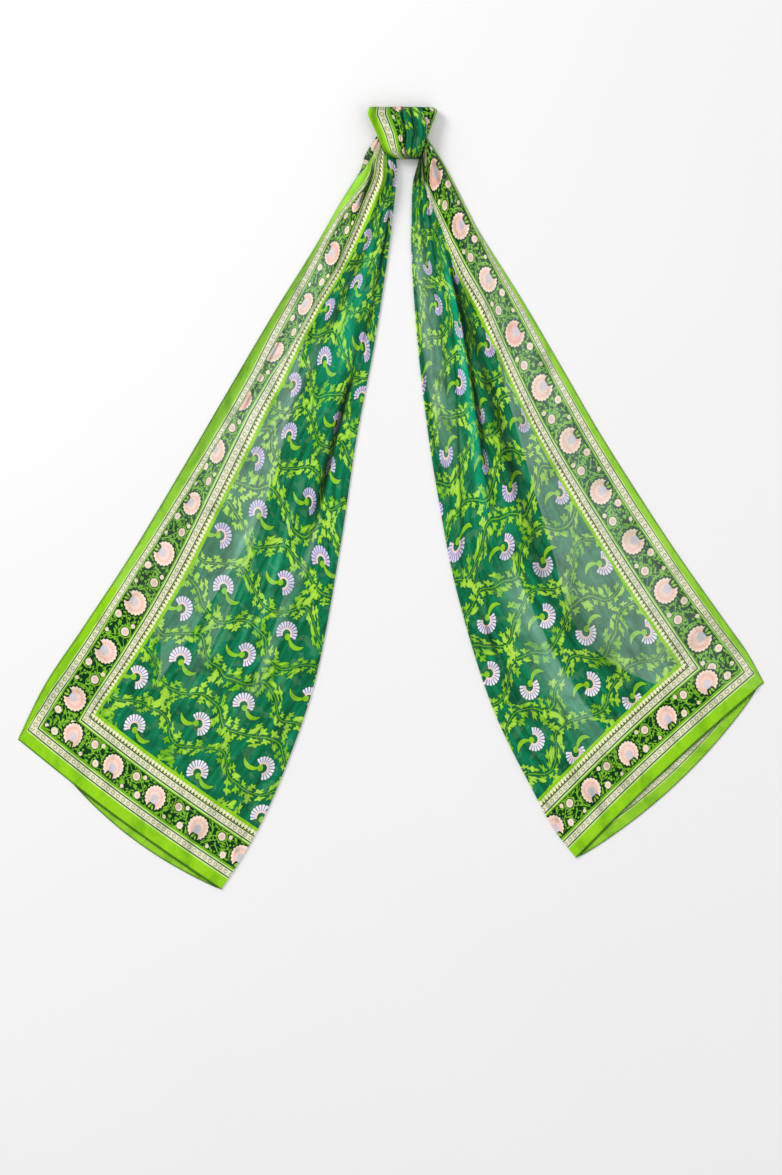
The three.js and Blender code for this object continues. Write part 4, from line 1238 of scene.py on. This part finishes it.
def outward_sign(middle):
    """1 where a tube's grid normals point away from the middle of its loops, else -1."""
    outward = middle - middle.mean(axis=1, keepdims=True)
    halfway = len(middle) // 2
    return 1.0 if (grid_normals(middle) * outward)[halfway].sum() > 0 else -1.0


def knot_cloth(name, middle, half_mm, tone, uv, side_run):
    """A piece of the knot: a tube of printed cloth, with other layers behind all of it."""
    blank = np.zeros(middle.shape[:2])
    return cloth_shell(name, middle, blank + half_mm, outward_sign(middle), PRINTED, uv * MM,
                       loop=True, doubled=blank + DOUBLED, tone=tone, sheer=blank + KNOT_SHEER,
                       side_run=side_run, field_a=uv[..., 0], field_b=uv[..., 1])


def make_band():
    """The turn of cloth round the knot: rounded loops between its two edges, raised in rolls,
    creased between them, and curled in at both edges. A tuft stands up at its upper end.
    Painted shade darkens its creases, its curled edges and its sides where they turn away from
    above."""
    share = np.concatenate([np.zeros(BAND_CURL), np.linspace(0, 1, BAND_COLUMNS),
                            np.ones(BAND_CURL)])
    inward = np.concatenate([np.linspace(1, 0, BAND_CURL, endpoint=False),
                             np.zeros(BAND_COLUMNS), np.linspace(0, 1, BAND_CURL + 1)[1:]])
    inset_of = BAND_WALL + 1.5 * (1 - np.cos(inward * np.pi / 2)) + 2.2 * inward ** 2
    middle, tone, tufts, length = [], [], [], []
    for s, turned, inset in zip(share, inward, inset_of):
        y, z, facing = rounded_loop(BAND_FORM, inset)
        up = np.clip((y - BAND_FORM[0]) / (BAND_FORM[1] - BAND_FORM[0]), 0, 1)
        rolls = [lift * ridge(s - (low + (high - low) * up), half)
                 for low, high, half, lift in zip(*BAND_ROLLS.values())]
        lifted = BAND_CROWN * math.sin(math.pi * s) * np.sin(np.pi * up) + np.max(rolls, axis=0)
        # painted shade on the curled edges
        shade = -0.5 * turned
        for low, high, half, deep, dark in zip(*BAND_CREASES.values()):
            shown = ridge(s - (low + (high - low) * up), half)
            lifted = lifted - deep * shown
            shade = shade + dark * shown
        ruffle = 0.35 * np.sin(s * 61 + up * 3) * np.sin(np.pi * s)
        z = z + (lifted + ruffle) * np.maximum(facing, 0)
        left_x = np.interp(y, BAND_EDGES["y"], BAND_EDGES["left"])
        right_x = np.interp(y, BAND_EDGES["y"], BAND_EDGES["right"])
        curled = math.copysign(BAND_CURL_IN, 0.5 - s) * turned ** 2
        tuft = ridge(s - TUFT_SHARE, TUFT_HALF) * smooth((y - TUFT_FROM) / 8)
        tuft = tuft * np.maximum(facing, 0)
        middle.append(np.stack([left_x + (right_x - left_x) * s + curled,
                                y + TUFT_OUT * tuft + ROW_SHIFT_Y, z + TUFT_UP * tuft], axis=1))
        # painted shade where the band faces away from above, except at the tuft
        tone.append(shade - 0.55 * (1 - np.clip(facing, 0, 1)) * (1 - tuft))
        tufts.append(tuft)
        length.append(run_round(y, z))
    middle, tone, tufts, length = (np.array(part) for part in (middle, tone, tufts, length))
    across = np.broadcast_to(share[:, None], length.shape)
    at_tuft = tufts > 0.2
    cloth = np.where(at_tuft, 50 + (across - TUFT_SHARE) * 60,
                     np.interp(across, BAND_PRINT["share"], BAND_PRINT["cloth"]))
    side_run = np.where(at_tuft, FLOWER_REPEAT / 2 + 6 + length * 0.2 % 6, 400 + length)
    uv = np.stack([cloth, BAND_UP_FROM_HEM + length], axis=2)
    return knot_cloth("knot_turn", middle, BAND_HALF_CLOTH, tone, uv, side_run)


def make_ear():
    """The fold that stands out to the right behind the band: rounded loops from the band's
    edge to its own, pleated, and closed down to a soft folded edge. Painted shade darkens it
    towards the band."""
    middle, tone, length = [], [], []
    for s in np.linspace(0, 1, EAR_COLUMNS):
        closing = smooth((s - 0.45) / 0.55)
        y, z, facing = rounded_loop(EAR_FORM, EAR_WALL)
        left_x = np.interp(y, BAND_EDGES["y"], BAND_EDGES["right"]) - 2.0
        right_x = np.interp(y, EAR_EDGE["y"], EAR_EDGE["right"]) - 0.5
        pleat = 1.2 * np.maximum(facing, 0) * np.sin(y * 0.55) * (1 - closing)
        z = EAR_MIDDLE_Z + (z + pleat - EAR_MIDDLE_Z) * (1 - 0.9 * closing)
        y = EAR_MIDDLE_Y + (y - EAR_MIDDLE_Y) * (1 - 0.05 * closing)
        x = left_x + (right_x - left_x) * math.sin(s * math.pi / 2) ** 0.8
        middle.append(np.stack([x, y + ROW_SHIFT_Y, z], axis=1))
        # painted shade, darker towards the band
        tone.append(np.full(len(y), -0.25 * (1 - s)))
        length.append(run_round(y, z))
    middle, tone, length = np.array(middle), np.array(tone), np.array(length)
    share = np.linspace(0, 1, EAR_COLUMNS)[:, None]
    cloth = np.interp(share, EAR_PRINT["share"], EAR_PRINT["cloth"]) + length * 0
    side_run = FLOWER_REPEAT / 2 + (middle[..., 1] - ROW_SHIFT_Y - EAR_FLOWER_Y)
    uv = np.stack([cloth, EAR_UP_FROM_HEM + length], axis=2)
    return knot_cloth("knot_fold", middle, EAR_HALF_CLOTH, tone, uv, side_run)


def make_core():
    """The layers inside the knot: rounded loops with the soft ribs of folded cloth, closed to
    a domed middle at each end."""
    loops = []
    for s in np.linspace(0, 1, CORE_COLUMNS):
        drawn = 0.05 + 0.95 * smooth(min(s, 1 - s) / 0.12) ** 0.5
        y, z, _ = rounded_loop(BAND_FORM, CORE_INSET)
        ribs = 1 - 0.05 * np.abs(np.sin(np.arange(len(y)) * 0.42))
        y = CORE_MIDDLE_Y + (y - CORE_MIDDLE_Y) * ribs * drawn
        z = CORE_MIDDLE_Z + (z - CORE_MIDDLE_Z) * ribs * drawn
        left_x = np.interp(y, BAND_EDGES["y"], BAND_EDGES["left"])
        right_x = np.interp(y, BAND_EDGES["y"], BAND_EDGES["right"])
        ear_x = np.interp(y, EAR_EDGE["y"], EAR_EDGE["right"], left=0, right=0) - 3.5
        right_x = np.where(y > EAR_FROM_Y, np.maximum(right_x, ear_x), right_x)
        x = left_x + (right_x - left_x) * (0.06 + 0.88 * s)
        loops.append(np.stack([x, y + ROW_SHIFT_Y, z], axis=1))
    grid = np.array(loops)
    around = grid.shape[1]
    ends = np.stack([grid[0].mean(axis=0), grid[-1].mean(axis=0)])
    points = np.concatenate([grid.reshape(-1, 3), ends])
    first = np.arange(around)
    after = np.roll(first, -1)
    last_loop = (CORE_COLUMNS - 1) * around
    caps = [np.stack([first, np.full(around, len(points) - 2), after], axis=1),
            np.stack([first + last_loop, after + last_loop, np.full(around, len(points) - 1)],
                     axis=1)]
    faces = [*grid_faces(CORE_COLUMNS, around, loop=True).tolist(),
             *np.concatenate(caps).tolist()]
    if outward_sign(grid) > 0:
        faces = [face[::-1] for face in faces]
    return new_piece("knot_layers", points, faces, HIDDEN)


band = make_band()
ear = make_ear()
core = make_core()

# ------------------------------------------------------------------ each piece on the root, its part hidden
for piece, node, slot in ((left, "left_tail", "printed_cloth"),
                          (right, "right_tail", "printed_cloth"),
                          (band, "knot_band", "knot_cloth"), (ear, "knot_ear", "knot_cloth"),
                          (core, "knot_core", "hidden_cloth")):
    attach(piece, "root")
    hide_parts(node)
for piece in (left_stitches, right_stitches):
    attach(piece, "root")
for node in ("left_gathers", "right_gathers"):
    for slot in bpy.data.objects[node].material_slots:
        slot.material = HIDDEN
